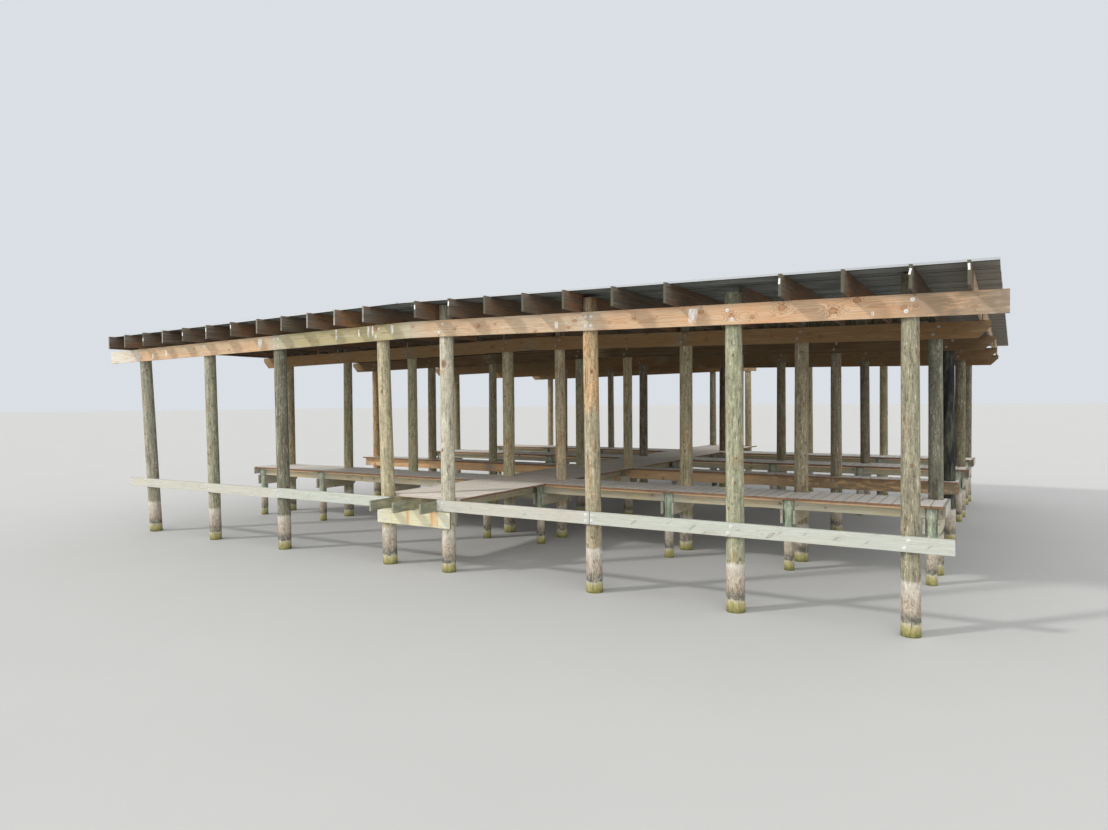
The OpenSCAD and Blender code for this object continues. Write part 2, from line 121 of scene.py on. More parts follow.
class Shader:  # one material, or the world, and the nodes that are put in it
    def __init__(self, name, kind="Material"):
        self.made = (bpy.data.worlds if kind == "World" else bpy.data.materials).new(name)
        self.made.use_nodes = True
        self.tree = self.made.node_tree
        self.tree.nodes.clear()
        self.output = self.tree.nodes.new("ShaderNodeOutput" + kind)

    def node(self, kind, sockets=None, out=0, **settings):
        made = self.tree.nodes.new("ShaderNode" + kind)
        for key, value in settings.items():
            setattr(made, key, value)
        for key, value in (sockets or {}).items():
            socket = made.inputs[key]
            if isinstance(value, Wire):
                self.tree.links.new(value.socket, socket)
            elif hasattr(socket.default_value, "__len__") and len(socket.default_value) == 4:
                socket.default_value = (*value[:3], 1.0)
            else:
                socket.default_value = value
        return Wire(self, made.outputs[out])

    def stored(self, name, out="Vector"):  # also "Color", or "Fac" for a single number
        return self.node("Attribute", out=out, attribute_name=name)

    def here(self):  # the place in the part's own frame
        return self.node("TexCoord", out="Object")

    def upward(self):  # 1 on a top, 0 on a side, -1 on an underside
        return self.split(self.node("NewGeometry", out="Normal"))[2]

    def split(self, vector):
        first = self.node("SeparateXYZ", {0: vector})
        return [first, first.also(1), first.also(2)]

    def join(self, x, y, z):
        return self.node("CombineXYZ", {0: x, 1: y, 2: z})

    def stretch(self, vector, amounts):
        return self.node("VectorMath", {0: vector, 1: amounts}, operation="MULTIPLY")

    def cloud(self, vector, scale, detail=3.0, rough=0.6, warp=0.0):  # scale: one number, or one per axis
        if isinstance(scale, tuple):
            vector, scale = self.stretch(vector, scale), 1.0
        return self.node("TexNoise", {"Vector": vector, "Scale": scale, "Detail": detail, "Roughness": rough,
                                      "Distortion": warp})

    def mix(self, mask, first, second, way="MIX"):
        return self.node("Mix", {0: mask, 6: first, 7: second}, 2, data_type="RGBA", blend_type=way)

    def times(self, first, second, mask=1.0):
        return self.mix(mask, first, second, "MULTIPLY")

    def ramp(self, value, stops):
        made = self.node("ValToRGB", {0: value})
        elements = made.socket.node.color_ramp.elements
        while len(elements) < len(stops):
            elements.new(0.5)
        for element, (position, colour) in zip(elements, stops):
            element.position = position
            element.color = (*colour, 1.0)
        return made

    def surface(self, colour, rough, metal=0.0, height=None, depth=0.002, strength=0.6, shine=0.5):
        sockets = {"Base Color": colour, "Roughness": rough, "Metallic": metal, "Specular IOR Level": shine}
        if height is not None:
            sockets["Normal"] = self.node("Bump", {"Strength": strength, "Distance": depth, "Height": height})
        return self.close(self.node("BsdfPrincipled", sockets))

    def close(self, shader):
        self.tree.links.new(shader.socket, self.output.inputs[0])
        return self.made


print("jetty: shader tools ready")

# Sawn wood

plainWood = {  # base finish; each wood below names only what differs from it
    "light": (0.42, 0.33, 0.22), "dark": (0.27, 0.18, 0.10), "warm": (0.38, 0.22, 0.11),
    "ring": 0.0075, "ringShow": 0.7, "warmShow": 0.5, "sway": 0.06,
    "knots": 0.42, "knotSize": 0.022, "knotRim": (0.17, 0.10, 0.055), "knotHeart": (0.26, 0.14, 0.07),
    "knotShow": 0.8, "swirl": 0.75,
    "grey": 0.5, "topGrey": 0.35, "endGrey": 0.35,
    "greyLight": (0.40, 0.38, 0.34), "greyDark": (0.20, 0.19, 0.16),
    "endLight": (0.36, 0.30, 0.22), "endDark": (0.17, 0.13, 0.09),
    "dirt": 0.25, "dirtColour": (0.10, 0.09, 0.07), "bump": 0.55,
    "rim": 0.25, "rimColour": (0.09, 0.07, 0.05), "endStain": 0.0,
    "knotField": (0.43, 0.17),  # length and width of the field that may hold one knot
    "knotTurn": 0.0, "knotSlim": 0.7, "splitColour": (0.03, 0.025, 0.02),
}


def woodLook(**changes):
    return {**plainWood, **changes}


def placedKnots(s, knots, turn, slim):
    # 1 at the heart of the nearest knot, 0 at its rim, falling on outside; turn tilts their long side
    c, n = math.cos(math.radians(turn)), math.sin(math.radians(turn))

    def tilted(x, z):
        return (x * c + z * n) * slim, 0.0, z * c - x * n

    spot = s.join(*tilted(*s.split(s.here())[::2]))
    nearest = None
    for x, z, size in knots:
        heart = tilted(x + grid["middle"], z)
        away = s.node("VectorMath", {0: spot, 1: heart}, "Value", operation="DISTANCE")
        inside = 1.0 - away / size
        nearest = inside if nearest is None else nearest.most(inside)
    return nearest


def addPatches(s, colour, patches):  # places where the colour differs: some are the wood's own, some are painted shade; each fades in along the axes it names
    axes = dict(zip("xyz", s.split(s.here())))
    cloudy = s.cloud(s.here(), (3.0, 3.0, 14.0), 3.0, 0.65).band(0.28, 0.55)
    for patch in patches:
        mask = cloudy * patch["show"]
        for axis, (start, full) in patch["fade"].items():
            mask = mask * axes[axis].band(start, full)
        colour = s.mix(mask, colour, patch["colour"])
    return colour


def addStains(s, colour, stains):  # runs of rust or droppings, each strongest at its top
    spot = s.here()
    x, z = s.split(spot)[::2]
    wander = s.cloud(spot, (30.0, 30.0, 5.0)) - 0.5
    patch = s.cloud(spot, (55.0, 55.0, 9.0), 3.0, 0.7)
    for stain in stains:
        wide, low, high = stain["wide"], stain["low"], stain["high"]
        edge = abs(x + wander * (wide * 1.2) - (stain["x"] + grid["middle"]))
        body = edge.band(wide * 0.6, wide * 0.25)
        fade = z.band(low, low + (high - low) * 0.45) * z.band(high + 0.004, high - 0.006)
        broken = patch.band(stain["broken"], stain["broken"] + 0.18)
        colour = s.mix(body * fade * broken * stain["show"], colour, stain["colour"])
    return colour


def boardKnots(s, look, grain, along, across, tone):  # 1 at a knot's heart, 0 at its rim, falling on outside
    long, wide = look["knotField"]
    cell = s.join(along / long, across / wide + tone * 31.0, 0.0)
    found = s.node("TexVoronoi", {"Vector": cell, "Scale": 1.0}, "Position", voronoi_dimensions="2D")
    spotX, spotY = s.split(found)[:2]
    cellX, cellY = s.split(cell)[:2]
    offX, offY = (spotX - cellX) * long, (spotY - cellY) * wide
    away = (offX * offX * 0.6 + offY * offY) ** 0.5
    chance = s.split(found.also("Color"))[0]
    size = (chance - (1.0 - look["knots"])).most(0.0) * (look["knotSize"] / look["knots"])
    real = (size * 400.0).clamp()
    inside = (1.0 - away / size.most(0.0004)).most(-9.0) * real - (1.0 - real) * 9.0
    if look.get("placed"):
        inside = inside.most(placedKnots(s, look["placed"], look["knotTurn"], look["knotSlim"]))
    return inside + (s.cloud(grain, (16.0, 40.0, 40.0)) - 0.5) * 1.5


def sawnWood(name, look):  # one finish of sawn board, driven by the stored board coordinates
    s = Shader(name)
    grain = s.stored("grain")  # along, across the wide side, through the thickness, from the pith
    along, across, through = s.split(grain)
    start, length, tone = s.split(s.stored("span"))
    aside, half = s.split(s.stored("breadth"))[:2]
    tip = s.stored("tip", "Fac")
    # knots are short branches through the board, with bent rings round them
    inside = boardKnots(s, look, grain, along, across, tone)
    knot = inside.band(-0.10, 0.10)
    halo = (inside * 0.32 + 1.0).clamp()

    # growth rings about the pith, swaying along the board and bending round the knots
    sway = s.cloud(s.join(along * 0.7, across * 2.0, through * 2.0 + tone * 9.0), 1.0, 2.0, 0.5) - 0.5
    sideways = across + sway * look["sway"]
    deep = through + sway * (look["sway"] * 0.6)
    ringAway = (sideways * sideways + deep * deep) ** 0.5 + halo * halo * (look["ring"] * 3.2)
    ring = (ringAway * (math.tau / look["ring"])).swing() ** 1.8
    fibre = s.cloud(grain, (5.0, 130.0, 130.0))
    streak = s.cloud(grain, (0.9, 38.0, 38.0))
    blotch = s.cloud(grain, (1.3, 6.0, 6.0))
    colour = s.mix(ring * look["ringShow"], look["light"], look["dark"])
    warm = (blotch.band(0.38, 0.66) * 0.75 + tone * 0.25) * look["warmShow"]
    colour = s.mix(warm, colour, look["warm"])
    colour = s.times(colour, look["dark"], fibre.band(0.35, 0.7) * 0.35)
    colour = s.times(colour, s.stored("tint", "Color"))

    # greying, most at the ends and on the tops
    ends = start.maths("MINIMUM", length - start)
    worn = (streak.band(0.36, 0.62) * 0.8 + blotch.band(0.6, 0.35) * 0.5 + tone * 0.3 - 0.2).clamp()
    worn = worn * look["grey"] + ends.band(look["endGrey"], 0.0) * 0.5
    grey = (worn + s.upward().band(0.3, 0.9) * look["topGrey"]).clamp()
    colour = s.mix(grey, colour, s.mix(streak.band(0.3, 0.75), look["greyDark"], look["greyLight"]))

    # knots are dark at the rim, redder in the middle, with a warm glow round them
    glow = halo * halo * ring.band(0.25, 0.9) * (look["swirl"] * look["knotShow"])
    colour = s.mix(glow, colour, look["knotRim"])
    heart = inside.band(0.10, 0.36) * (1.0 - (inside * 16.0).swing() * 0.5)
    colour = s.mix(knot * look["knotShow"], colour, s.mix(heart, look["knotRim"], look["knotHeart"]))

    # the sawn ends show the rings and drink more dirt; on the decks their dark brown is partly painted shadow
    endTone = s.mix(ring * 0.6 + fibre * 0.25, look["endLight"], look["endDark"])
    if look.get("paleEndsLeft"):  # the tips on the left half are newer wood
        left = s.split(s.here())[0].band(0.6, -1.0)
        endTone = s.mix(left * fibre.band(0.35, 0.6) * tone.band(0.2, 0.9), endTone, look["paleEndsLeft"])
    moss = s.cloud(grain, (60.0, 22.0, 22.0)).band(0.5, 0.68)
    endTone = s.mix(moss * 0.6, endTone, look.get("endMoss", look["dirtColour"]))
    # endStain darkens the tops near the ends too: on the decks partly dirt, partly painted shadow along the
    # ragged ends
    atEnd = (tip + ends.band(0.03, 0.004) * streak.band(0.3, 0.6) * look["endStain"]).clamp()
    colour = s.mix(atEnd, colour, endTone)
    if look.get("patches"):
        colour = addPatches(s, colour, look["patches"])

    # dirt in patches, a darker band along the long edges, then fine splits
    dirt = s.cloud(grain, (4.0, 14.0, 14.0), 4.0, 0.65).band(0.52, 0.75)
    colour = s.mix(dirt * look["dirt"], colour, look["dirtColour"])
    rim = (half - abs(aside) + (fibre - 0.5) * 0.008).band(0.010, 0.001) * (1.0 - tip)
    colour = s.mix(rim * look["rim"], colour, look["rimColour"])
    if look.get("stains"):
        colour = addStains(s, colour, look["stains"])
    split = s.cloud(grain, (0.8, 26.0, 26.0), 1.0, 0.5)
    split = (1.0 - abs(split - 0.5) * 160.0).clamp() * streak.band(0.5, 0.6)
    colour = s.mix(split * 0.6, colour, look["splitColour"])
    height = ring * 0.25 + fibre * 0.5 + dirt * 0.2 - split * 1.2 + knot * 0.5 - rim * 0.3
    rough = 0.82 - ring * 0.1 + fibre * 0.12 - knot * 0.1
    return s.surface(colour, rough, height=height, depth=0.0018, strength=look["bump"], shine=0.3)


print("jetty: wood finish written")

# Boards

marks = {  # what a finish reads: the kind of number, and whether points or faces carry it
    "grain": ("FLOAT_VECTOR", "POINT"), "span": ("FLOAT_VECTOR", "POINT"),
    "breadth": ("FLOAT_VECTOR", "POINT"), "check": ("FLOAT", "POINT"),
    "tint": ("FLOAT_COLOR", "POINT"), "tip": ("FLOAT", "FACE"),
}
boardMake = {            # metres, unless noted
    "stub": 0.35,  # a board that stands on end and is shorter than this keeps its grain level
    "roundSteps": 2, "roundShape": 0.6,  # segments and profile of a rounded edge
    "pithAside": 0.07, "pithDeep": (0.03, 0.13),  # where the middle of the tree lies from a board's middle
    "sway": 0.0012,
}


def newShell(*names):  # points and faces of one piece, and the marks that its finish reads
    return {name: [] for name in ("points", "faces", *names)}


def newMesh(name, points, faces):
    mesh = bpy.data.meshes.new(name)
    mesh.from_pydata(points, [], faces)
    return mesh


def addPiece(mesh, material, replaced=()):
    mesh.materials.append(material)
    piece = bpy.data.objects.new(mesh.name, mesh)
    bpy.context.scene.collection.objects.link(piece)
    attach(piece, "root")
    if replaced:
        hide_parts(*replaced)


def addWood(nodeName, shell, material, smooth=False):
    mesh = newMesh(nodeName + "_wood", shell.pop("points"), shell.pop("faces"))
    if smooth:
        mesh.polygons.foreach_set("use_smooth", [True] * len(mesh.polygons))
    for name, values in shell.items():
        kind, domain = marks[name]
        field = {"FLOAT": "value", "FLOAT_VECTOR": "vector", "FLOAT_COLOR": "color"}[kind]
        flat = values if kind == "FLOAT" else [number for value in values for number in value]
        mesh.attributes.new(name, kind, domain).data.foreach_set(field, flat)
    if smooth:
        mesh.set_sharp_from_angle(angle=math.radians(38))
    else:
        mesh.validate()
    addPiece(mesh, material, [nodeName])


def islands(work):  # the separate solids of one welded node
    seen = set()
    groups = []
    for first in work.faces:
        if first.index in seen:
            continue
        seen.add(first.index)
        stack, group = [first], []
        while stack:
            face = stack.pop()
            group.append(face)
            for other in (other for edge in face.edges for other in edge.link_faces):
                if other.index not in seen:
                    seen.add(other.index)
                    stack.append(other)
        groups.append(group)
    return groups


def weldedCopy(nodeName):
    work = bmesh.new()
    work.from_mesh(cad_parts[nodeName].data)
    bmesh.ops.remove_doubles(work, verts=work.verts, dist=0.00003)
    bmesh.ops.dissolve_limit(work, angle_limit=0.02, verts=work.verts, edges=work.edges)
    work.faces.ensure_lookup_table()
    work.faces.index_update()
    work.verts.index_update()
    return work


def boardCopy(group):  # one board of a node as its own mesh
    board = bmesh.new()
    known = {}
    for face in group:
        for v in face.verts:
            if v.index not in known:
                known[v.index] = board.verts.new(v.co)
        board.faces.new([known[v.index] for v in face.verts])
    return board


def boardSize(group):
    corners = [v.co for face in group for v in face.verts]
    return [Vector([pick(c[i] for c in corners) for i in range(3)]) for pick in (min, max)]


def boardAxes(size):  # along, wide side, thin side
    axes = sorted(range(3), key=lambda i: -size[i])
    if size[axes[0]] < boardMake["stub"] and axes[0] == 2:
        axes = [axes[1], axes[0], axes[2]]
    return axes


def cutAcross(board, low, long, length, step):  # more points along the board, for its sway
    normal = Vector((0, 0, 0))
    normal[long] = 1.0
    count = int(length / step)
    for k in range(1, count):
        middle = Vector(low)
        middle[long] += length * k / count
        bmesh.ops.bisect_plane(board, geom=board.verts[:] + board.edges[:] + board.faces[:],
                               plane_co=middle, plane_no=normal)


def boardTint(chance, spread, shade):  # a brighter, darker, redder or greyer cast from board to board
    bright = shade * (1 + chance.uniform(-spread, spread))
    warmth = chance.uniform(-spread, spread) * 0.35
    return (bright * (1 + warmth), bright, bright * (1 - warmth), 1.0)


def dressBoards(nodeName, material, slotName, seed, edge=0.004, step=0.0, wane=0.0, jitter=0.0,
                tints=None, spread=0.15, shade=1.0, odd=None, trim=0.0):
    chance = random.Random(seed)
    work = weldedCopy(nodeName)
    groups = islands(work)
    if tints:  # named tints go from left to right
        groups.sort(key=lambda group: boardSize(group)[0].x)
    shell = newShell("grain", "span", "breadth", "tint", "tip")
    for number, group in enumerate(groups):
        board = boardCopy(group)
        low, high = boardSize(group)
        size, centre = high - low, (low + high) / 2
        long, wide, thin = boardAxes(size)
        length = size[long]
        sharp = [e for e in board.edges if e.is_manifold and e.calc_face_angle(0.0) > 0.5]
        bmesh.ops.bevel(board, geom=sharp, offset=edge, offset_type="OFFSET", affect="EDGES",
                        segments=boardMake["roundSteps"], profile=boardMake["roundShape"],
                        clamp_overlap=True)
        if step > 0:
            cutAcross(board, low, long, length, step)
        pith = (chance.uniform(-boardMake["pithAside"], boardMake["pithAside"]),
                chance.uniform(*boardMake["pithDeep"]) * chance.choice((-1, 1)))
        tone = chance.random()
        offset = chance.uniform(0, 90)
        sink = chance.uniform(-jitter, 0)
        tilt = chance.uniform(-jitter, jitter) / max(size[wide], 0.05)
        cast = (*tints[number], 1.0) if tints else boardTint(chance, spread, shade)
        for x, named in (odd or {}).items():  # boards that stand out, by how far right they lie
            if abs(centre.x - grid["middle"] - x) < 0.02:
                cast = (*named, 1.0)
        base = len(shell["points"])
        board.verts.index_update()
        for v in board.verts:
            moved = Vector(v.co)
            away = [v.co[i] - centre[i] for i in range(3)]
            if wane > 0:  # corners worn or bark-edged in places
                spot = Vector((v.co[long] * 1.7 + offset, (away[wide] > 0) * 5.0, (away[thin] > 0) * 9.0))
                bite = max(0.0, noise.noise(spot) - 0.18) * wane * 3.0
                if all(size[i] / 2 - abs(away[i]) < edge * 1.6 for i in (wide, thin)):
                    for i in (wide, thin):
                        moved[i] -= math.copysign(bite, away[i])
            if trim > 0 and abs(away[long]) > length / 2 - edge * 1.2:
                moved[long] -= math.copysign(trim, away[long])
            if step > 0:
                sway = noise.noise(Vector((v.co[long] * 0.9 + offset, 3.3, offset)))
                moved[thin] += sway * boardMake["sway"]
            if jitter > 0:
                moved.z += sink + away[wide] * tilt
            reach = v.co[long] - low[long]
            shell["points"].append(moved)
            shell["grain"].append((reach + offset, away[wide] - pith[0], away[thin] - pith[1]))
            shell["span"].append((reach, length, tone))
            shell["breadth"].append((away[wide], size[wide] / 2, 0.0))
            shell["tint"].append(cast)
        for face in board.faces:
            shell["faces"].append([base + v.index for v in face.verts])
            shell["tip"].append(1.0 if abs(face.normal[long]) > 0.75 else 0.0)
        board.free()
    work.free()
    addWood(nodeName, shell, material)


def dressSet(wood):  # one finish, and all the nodes that wear it
    material = sawnWood(wood["finish"], wood["look"])
    for number, nodeName in enumerate(wood["nodes"]):
        # painted shade: a set may darken each of its nodes by its own amount, as the inner header rows are
        shade = wood["paintedRowShades"][number] if "paintedRowShades" in wood else 1.0
        dressBoards(nodeName, material, wood["slot"], wood["seed"] + number, shade=shade, **wood["shape"])


# Front header: four pale new boards; knots are (x, height above the lower edge, size)
droppings = {"wide": 0.06, "show": 1.0, "broken": 0.34, "colour": (0.90, 0.89, 0.86)}
frontHeader = {
    "finish": "frontHeaderWood", "slot": "front_header_wood", "nodes": ["front_header_boards"], "seed": 100,
    "shape": {"step": 0.16, "wane": 0.005,
              "tints": [(1.12, 1.06, 1.02), (0.77, 0.98, 0.88), (1.04, 1.08, 1.12), (1.06, 0.97, 0.91)]},
    "knots": [
        (-8.60, 0.10, 0.018), (-6.30, 0.17, 0.016), (-5.10, 0.08, 0.020), (-2.60, 0.12, 0.016),
        (-1.30, 0.16, 0.020), (-0.87, 0.22, 0.036), (0.05, 0.20, 0.018), (1.00, 0.12, 0.018),
        (1.50, 0.14, 0.030), (1.84, 0.17, 0.014), (2.63, 0.02, 0.020), (3.25, 0.06, 0.020),
        (3.36, 0.16, 0.026), (3.97, 0.11, 0.013), (4.37, 0.15, 0.024), (5.42, 0.20, 0.032),
        (5.86, 0.12, 0.028), (6.15, 0.09, 0.022), (6.56, 0.20, 0.040), (7.21, 0.12, 0.038),
        (7.50, 0.24, 0.034), (8.05, 0.12, 0.026), (8.19, 0.14, 0.024), (8.82, 0.09, 0.026),
    ],
    "droppings": [  # x, lowest and highest point above the lower edge, width
        (-7.87, 0.01, 0.16, 0.045), (-7.36, 0.02, 0.20, 0.035), (-4.10, 0.02, 0.25, 0.10),
        (-1.88, 0.04, 0.28, 0.04), (-1.28, 0.08, 0.24, 0.035), (-1.04, 0.05, 0.28, 0.05),
        (-0.93, 0.08, 0.28, 0.03), (-0.45, 0.06, 0.26, 0.05), (3.03, 0.03, 0.16, 0.05),
        (5.29, 0.01, 0.25, 0.10), (7.69, 0.02, 0.09, 0.035),
    ],
}
frontHeader["look"] = woodLook(
    light=(0.68, 0.54, 0.37), dark=(0.46, 0.28, 0.15), warm=(0.62, 0.39, 0.23), warmShow=0.6,
    grey=0.25, topGrey=0.5, endGrey=0.5, greyLight=(0.62, 0.57, 0.47), greyDark=(0.42, 0.38, 0.29),
    knots=0.3, knotSize=0.014, knotRim=(0.22, 0.09, 0.045), knotHeart=(0.50, 0.27, 0.13),
    dirt=0.12, ring=0.012, ringShow=0.9, endLight=(0.62, 0.54, 0.42), endDark=(0.40, 0.32, 0.22),
    placed=[(x, headerUnder(x) + up, size) for x, up, size in frontHeader["knots"]],
    stains=[dict(droppings, x=x, wide=wide * 1.3, low=headerUnder(x) + low, high=headerUnder(x) + high)
            for x, low, high, wide in frontHeader["droppings"]],
    patches=[{"fade": {"x": (-8.05, -8.35)}, "colour": (0.68, 0.66, 0.59), "show": 0.9},
             # painted shadow: from x 7.9 m the header darkens towards its right end, for the rafter's shadow
             # on it
             {"fade": {"x": (7.9, 8.7)}, "colour": (0.28, 0.215, 0.15), "show": 0.8},
             {"fade": {"x": (-3.2, -3.4), "z": (4.13, 4.28)}, "colour": (0.50, 0.52, 0.37), "show": 0.3}],
)
dressSet(frontHeader)

# Inner headers: older brown boards behind, each row darkened by its own painted shade, most on the third row
innerHeader = {
    "finish": "innerHeaderWood", "slot": "inner_header_wood", "seed": 102,
    "nodes": [f"row_{row}_header" for row in range(2, 7)], "paintedRowShades": [0.85, 0.4, 0.6, 0.7, 0.8],
    "shape": {"step": 0.3, "wane": 0.006, "spread": 0.14},
    "look": woodLook(
        light=(0.44, 0.29, 0.135), dark=(0.24, 0.13, 0.055), warm=(0.42, 0.22, 0.085), warmShow=0.6,
        grey=0.25, greyLight=(0.37, 0.30, 0.19), greyDark=(0.20, 0.15, 0.09), dirt=0.35, ring=0.012,
        knots=0.4, knotSize=0.03, knotRim=(0.11, 0.05, 0.025), knotHeart=(0.30, 0.15, 0.07),
        # painted shade: from x 5 m the headers darken towards their right ends, where less light falls
        patches=[{"fade": {"x": (5.0, 8.5)}, "colour": (0.17, 0.105, 0.05), "show": 0.5}],
    ),
}
dressSet(innerHeader)

# Rafters: grey-brown, with mossy tips on the right and newer pale tips on the left
rafters = {
    "finish": "rafterWood", "slot": "rafter_wood", "nodes": ["rafters_left", "rafters_right"], "seed": 110,
    "shape": {"step": 0.4, "wane": 0.007, "spread": 0.45, "trim": 0.0025,
              "odd": {-5.147: (0.75, 0.82, 0.88), -4.343: (1.25, 1.0, 0.8), -3.54: (1.0, 1.0, 1.0),
                      -2.821: (0.72, 0.86, 0.92), -2.102: (1.4, 1.2, 0.95), -1.384: (2.3, 2.0, 1.5),
                      -0.665: (0.95, 1.05, 1.15), 6.652: (1.1, 1.05, 0.95), 7.413: (1.15, 1.0, 0.9)}},
    "look": woodLook(
        light=(0.20, 0.135, 0.085), dark=(0.075, 0.05, 0.03), warm=(0.30, 0.15, 0.065), warmShow=0.6,
        grey=0.45, greyLight=(0.22, 0.20, 0.175), greyDark=(0.07, 0.063, 0.05), dirt=0.45,
        endLight=(0.13, 0.125, 0.09), endDark=(0.055, 0.052, 0.038), endMoss=(0.085, 0.12, 0.065),
        paleEndsLeft=(0.56, 0.52, 0.46),
        # the tip that is set back beside the seventh pile is newer wood
        patches=[{"fade": {"x": (8.945, 8.955), "y": (-9.05, -8.95)}, "colour": (0.62, 0.46, 0.29),
                  "show": 0.85}],
    ),
}
dressSet(rafters)

# Cap boards under the walkway, with rust run down from the joists
rust = {"wide": 0.075, "show": 0.8, "broken": 0.30, "colour": (0.62, 0.33, 0.12), "low": 0.74, "high": 1.066}
capBoards = {
    "finish": "capBoardWood", "slot": "treated_wood", "nodes": ["walkway_cap_boards"], "seed": 120,
    "shape": {"step": 0.2, "wane": 0.004, "spread": 0.06},
    "look": woodLook(
        light=(0.74, 0.72, 0.53), dark=(0.58, 0.56, 0.37), warm=(0.70, 0.62, 0.40), grey=0.3,
        greyLight=(0.74, 0.73, 0.61), greyDark=(0.55, 0.55, 0.44), dirt=0.12, knots=0.25,
        stains=[dict(rust, x=-0.11), dict(rust, x=0.49, wide=0.19, show=0.6), dict(rust, x=0.44, wide=0.06),
                dict(rust, x=0.57, wide=0.04, show=0.6), dict(rust, x=-0.50, wide=0.02, show=0.4)],
    ),
}
dressSet(capBoards)

# Joists, cross beams and stringers: grey-green treated boards, dark grey-green on the stubs at the front
joists = {
    "finish": "joistWood", "slot": "joist_wood", "seed": 130,
    "nodes": ["walkway_joists"] + [f"finger_{letter}_{kind}" for kind in ("cross_beams", "stringers")
                                   for letter in "acd"],
    "shape": {"step": 0.3, "wane": 0.005, "spread": 0.14},
    "look": woodLook(
        light=(0.56, 0.53, 0.38), dark=(0.40, 0.35, 0.22), warm=(0.52, 0.40, 0.23), warmShow=0.45,
        greyLight=(0.55, 0.54, 0.47), greyDark=(0.36, 0.35, 0.29), endLight=(0.50, 0.48, 0.42),
        endDark=(0.30, 0.28, 0.24), dirt=0.2,
        patches=[{"fade": {"y": (-9.1, -9.3)}, "colour": (0.22, 0.25, 0.17), "show": 0.85}],
    ),
}
dressSet(joists)

# The narrow finger's deep beams
brownBeams = {
    "finish": "brownBeamWood", "slot": "brown_beam_wood", "nodes": ["finger_b_beams"], "seed": 140,
    "shape": {"step": 0.3, "wane": 0.005, "spread": 0.1},
    "look": woodLook(light=(0.90, 0.63, 0.36), dark=(0.62, 0.41, 0.21), warm=(0.82, 0.50, 0.25), grey=0.25,
                     patches=[{"fade": {"x": (3.6, 5.4)}, "colour": (0.23, 0.175, 0.105), "show": 0.85}]),
}
dressSet(brownBeams)

# Orange strips under the decks' front edges; their colour is partly the wood's orange, partly painted light:
# it is raised near white as if sunlit, though they lie in the shade of the deck's edge
nailers = {
    "finish": "nailerWood", "slot": "nailer_wood", "seed": 150,
    "nodes": [f"finger_{letter}_nailers" for letter in "acd"],
    "shape": {"edge": 0.003, "step": 0.4, "wane": 0.002, "spread": 0.1},
    "look": woodLook(light=(1.0, 0.80, 0.56), dark=(0.93, 0.66, 0.40), warm=(0.98, 0.70, 0.43), grey=0.1,
                     rim=0.0, dirt=0.1),
}
dressSet(nailers)

# Decks: pale beige walkway with brown ragged ends, greyer fingers; the ends' dark brown is partly end grain,
# partly painted shadow
deckShape = {"edge": 0.003, "jitter": 0.0015, "spread": 0.09}
walkwayDeck = {
    "finish": "walkwayWood", "slot": "deck_wood", "nodes": ["walkway_deck"], "seed": 160, "shape": deckShape,
    # painted light: the near-white board colours, here and on the fingers, are raised beyond the pale wood's
    # own colour to make up for the light that the roof keeps off the decks
    "look": woodLook(
        light=(0.97, 0.92, 0.84), dark=(0.87, 0.78, 0.69), warm=(0.94, 0.84, 0.74), grey=0.4, topGrey=0.2,
        greyLight=(0.94, 0.91, 0.86), greyDark=(0.80, 0.75, 0.69), endLight=(0.36, 0.22, 0.14),
        endDark=(0.10, 0.06, 0.04), endStain=0.8, endGrey=0.05, dirt=0.05, rim=0.45, ringShow=0.4,
        knotShow=0.4,
    ),
}
dressSet(walkwayDeck)
fingerDecks = {
    "finish": "fingerDeckWood", "slot": "deck_wood", "seed": 161, "shape": deckShape,
    "nodes": [f"finger_{letter}_deck_{side}" for letter in "abcd" for side in ("left", "right")],
    "look": dict(
        walkwayDeck["look"], light=(0.95, 0.92, 0.86), dark=(0.84, 0.80, 0.74), warm=(0.91, 0.85, 0.78),
        grey=0.5, greyLight=(0.93, 0.91, 0.88), greyDark=(0.78, 0.76, 0.73), endLight=(0.40, 0.23, 0.14),
        endDark=(0.09, 0.05, 0.035), rim=0.6, endStain=0.6,
    ),
}
dressSet(fingerDecks)

# Boards that close the fingers' outer ends
endBoards = {
    "finish": "endBoardWood", "slot": "end_board_wood", "nodes": ["finger_end_boards"], "seed": 180,
    "shape": {"step": 0.3, "wane": 0.004, "spread": 0.08},
    "look": woodLook(light=(0.56, 0.55, 0.48), dark=(0.42, 0.40, 0.35), warm=(0.52, 0.46, 0.37), grey=0.7,
                     greyLight=(0.62, 0.61, 0.56), greyDark=(0.42, 0.41, 0.37)),
}
dressSet(endBoards)

# Bumper boards: almost white new wood
bumper = {
    "finish": "bumperWood", "slot": "bumper_wood", "nodes": ["bumper_boards"], "seed": 190,
    "shape": {"step": 0.2, "wane": 0.003,
              "tints": [(1.06, 1.02, 1.0), (0.98, 1.02, 1.02), (1.02, 0.97, 0.96), (0.97, 0.99, 0.99)]},
    "knots": [  # x, height and size of the small slanting knots and scars
        (-6.2, 1.16, 0.013), (-4.4, 1.13, 0.012), (-2.7, 1.17, 0.014), (-1.5, 1.14, 0.012),
        (1.3, 1.18, 0.013), (2.4, 1.16, 0.014), (3.1, 1.19, 0.010), (4.35, 1.17, 0.024),
        (4.9, 1.20, 0.012), (5.28, 1.17, 0.024), (5.45, 1.10, 0.018), (5.80, 1.09, 0.014),
        (5.95, 1.19, 0.012), (6.40, 1.15, 0.034), (6.52, 1.19, 0.016), (6.85, 1.20, 0.014),
        (7.25, 1.18, 0.020), (7.62, 1.16, 0.016), (8.35, 1.17, 0.014),
    ],
    "knotScale": 0.6,
    "joint": {"x": 3.6, "wide": 0.016, "low": 0.9, "high": 1.3, "show": 0.8, "broken": 0.2,
              "colour": (0.10, 0.11, 0.12)},
}
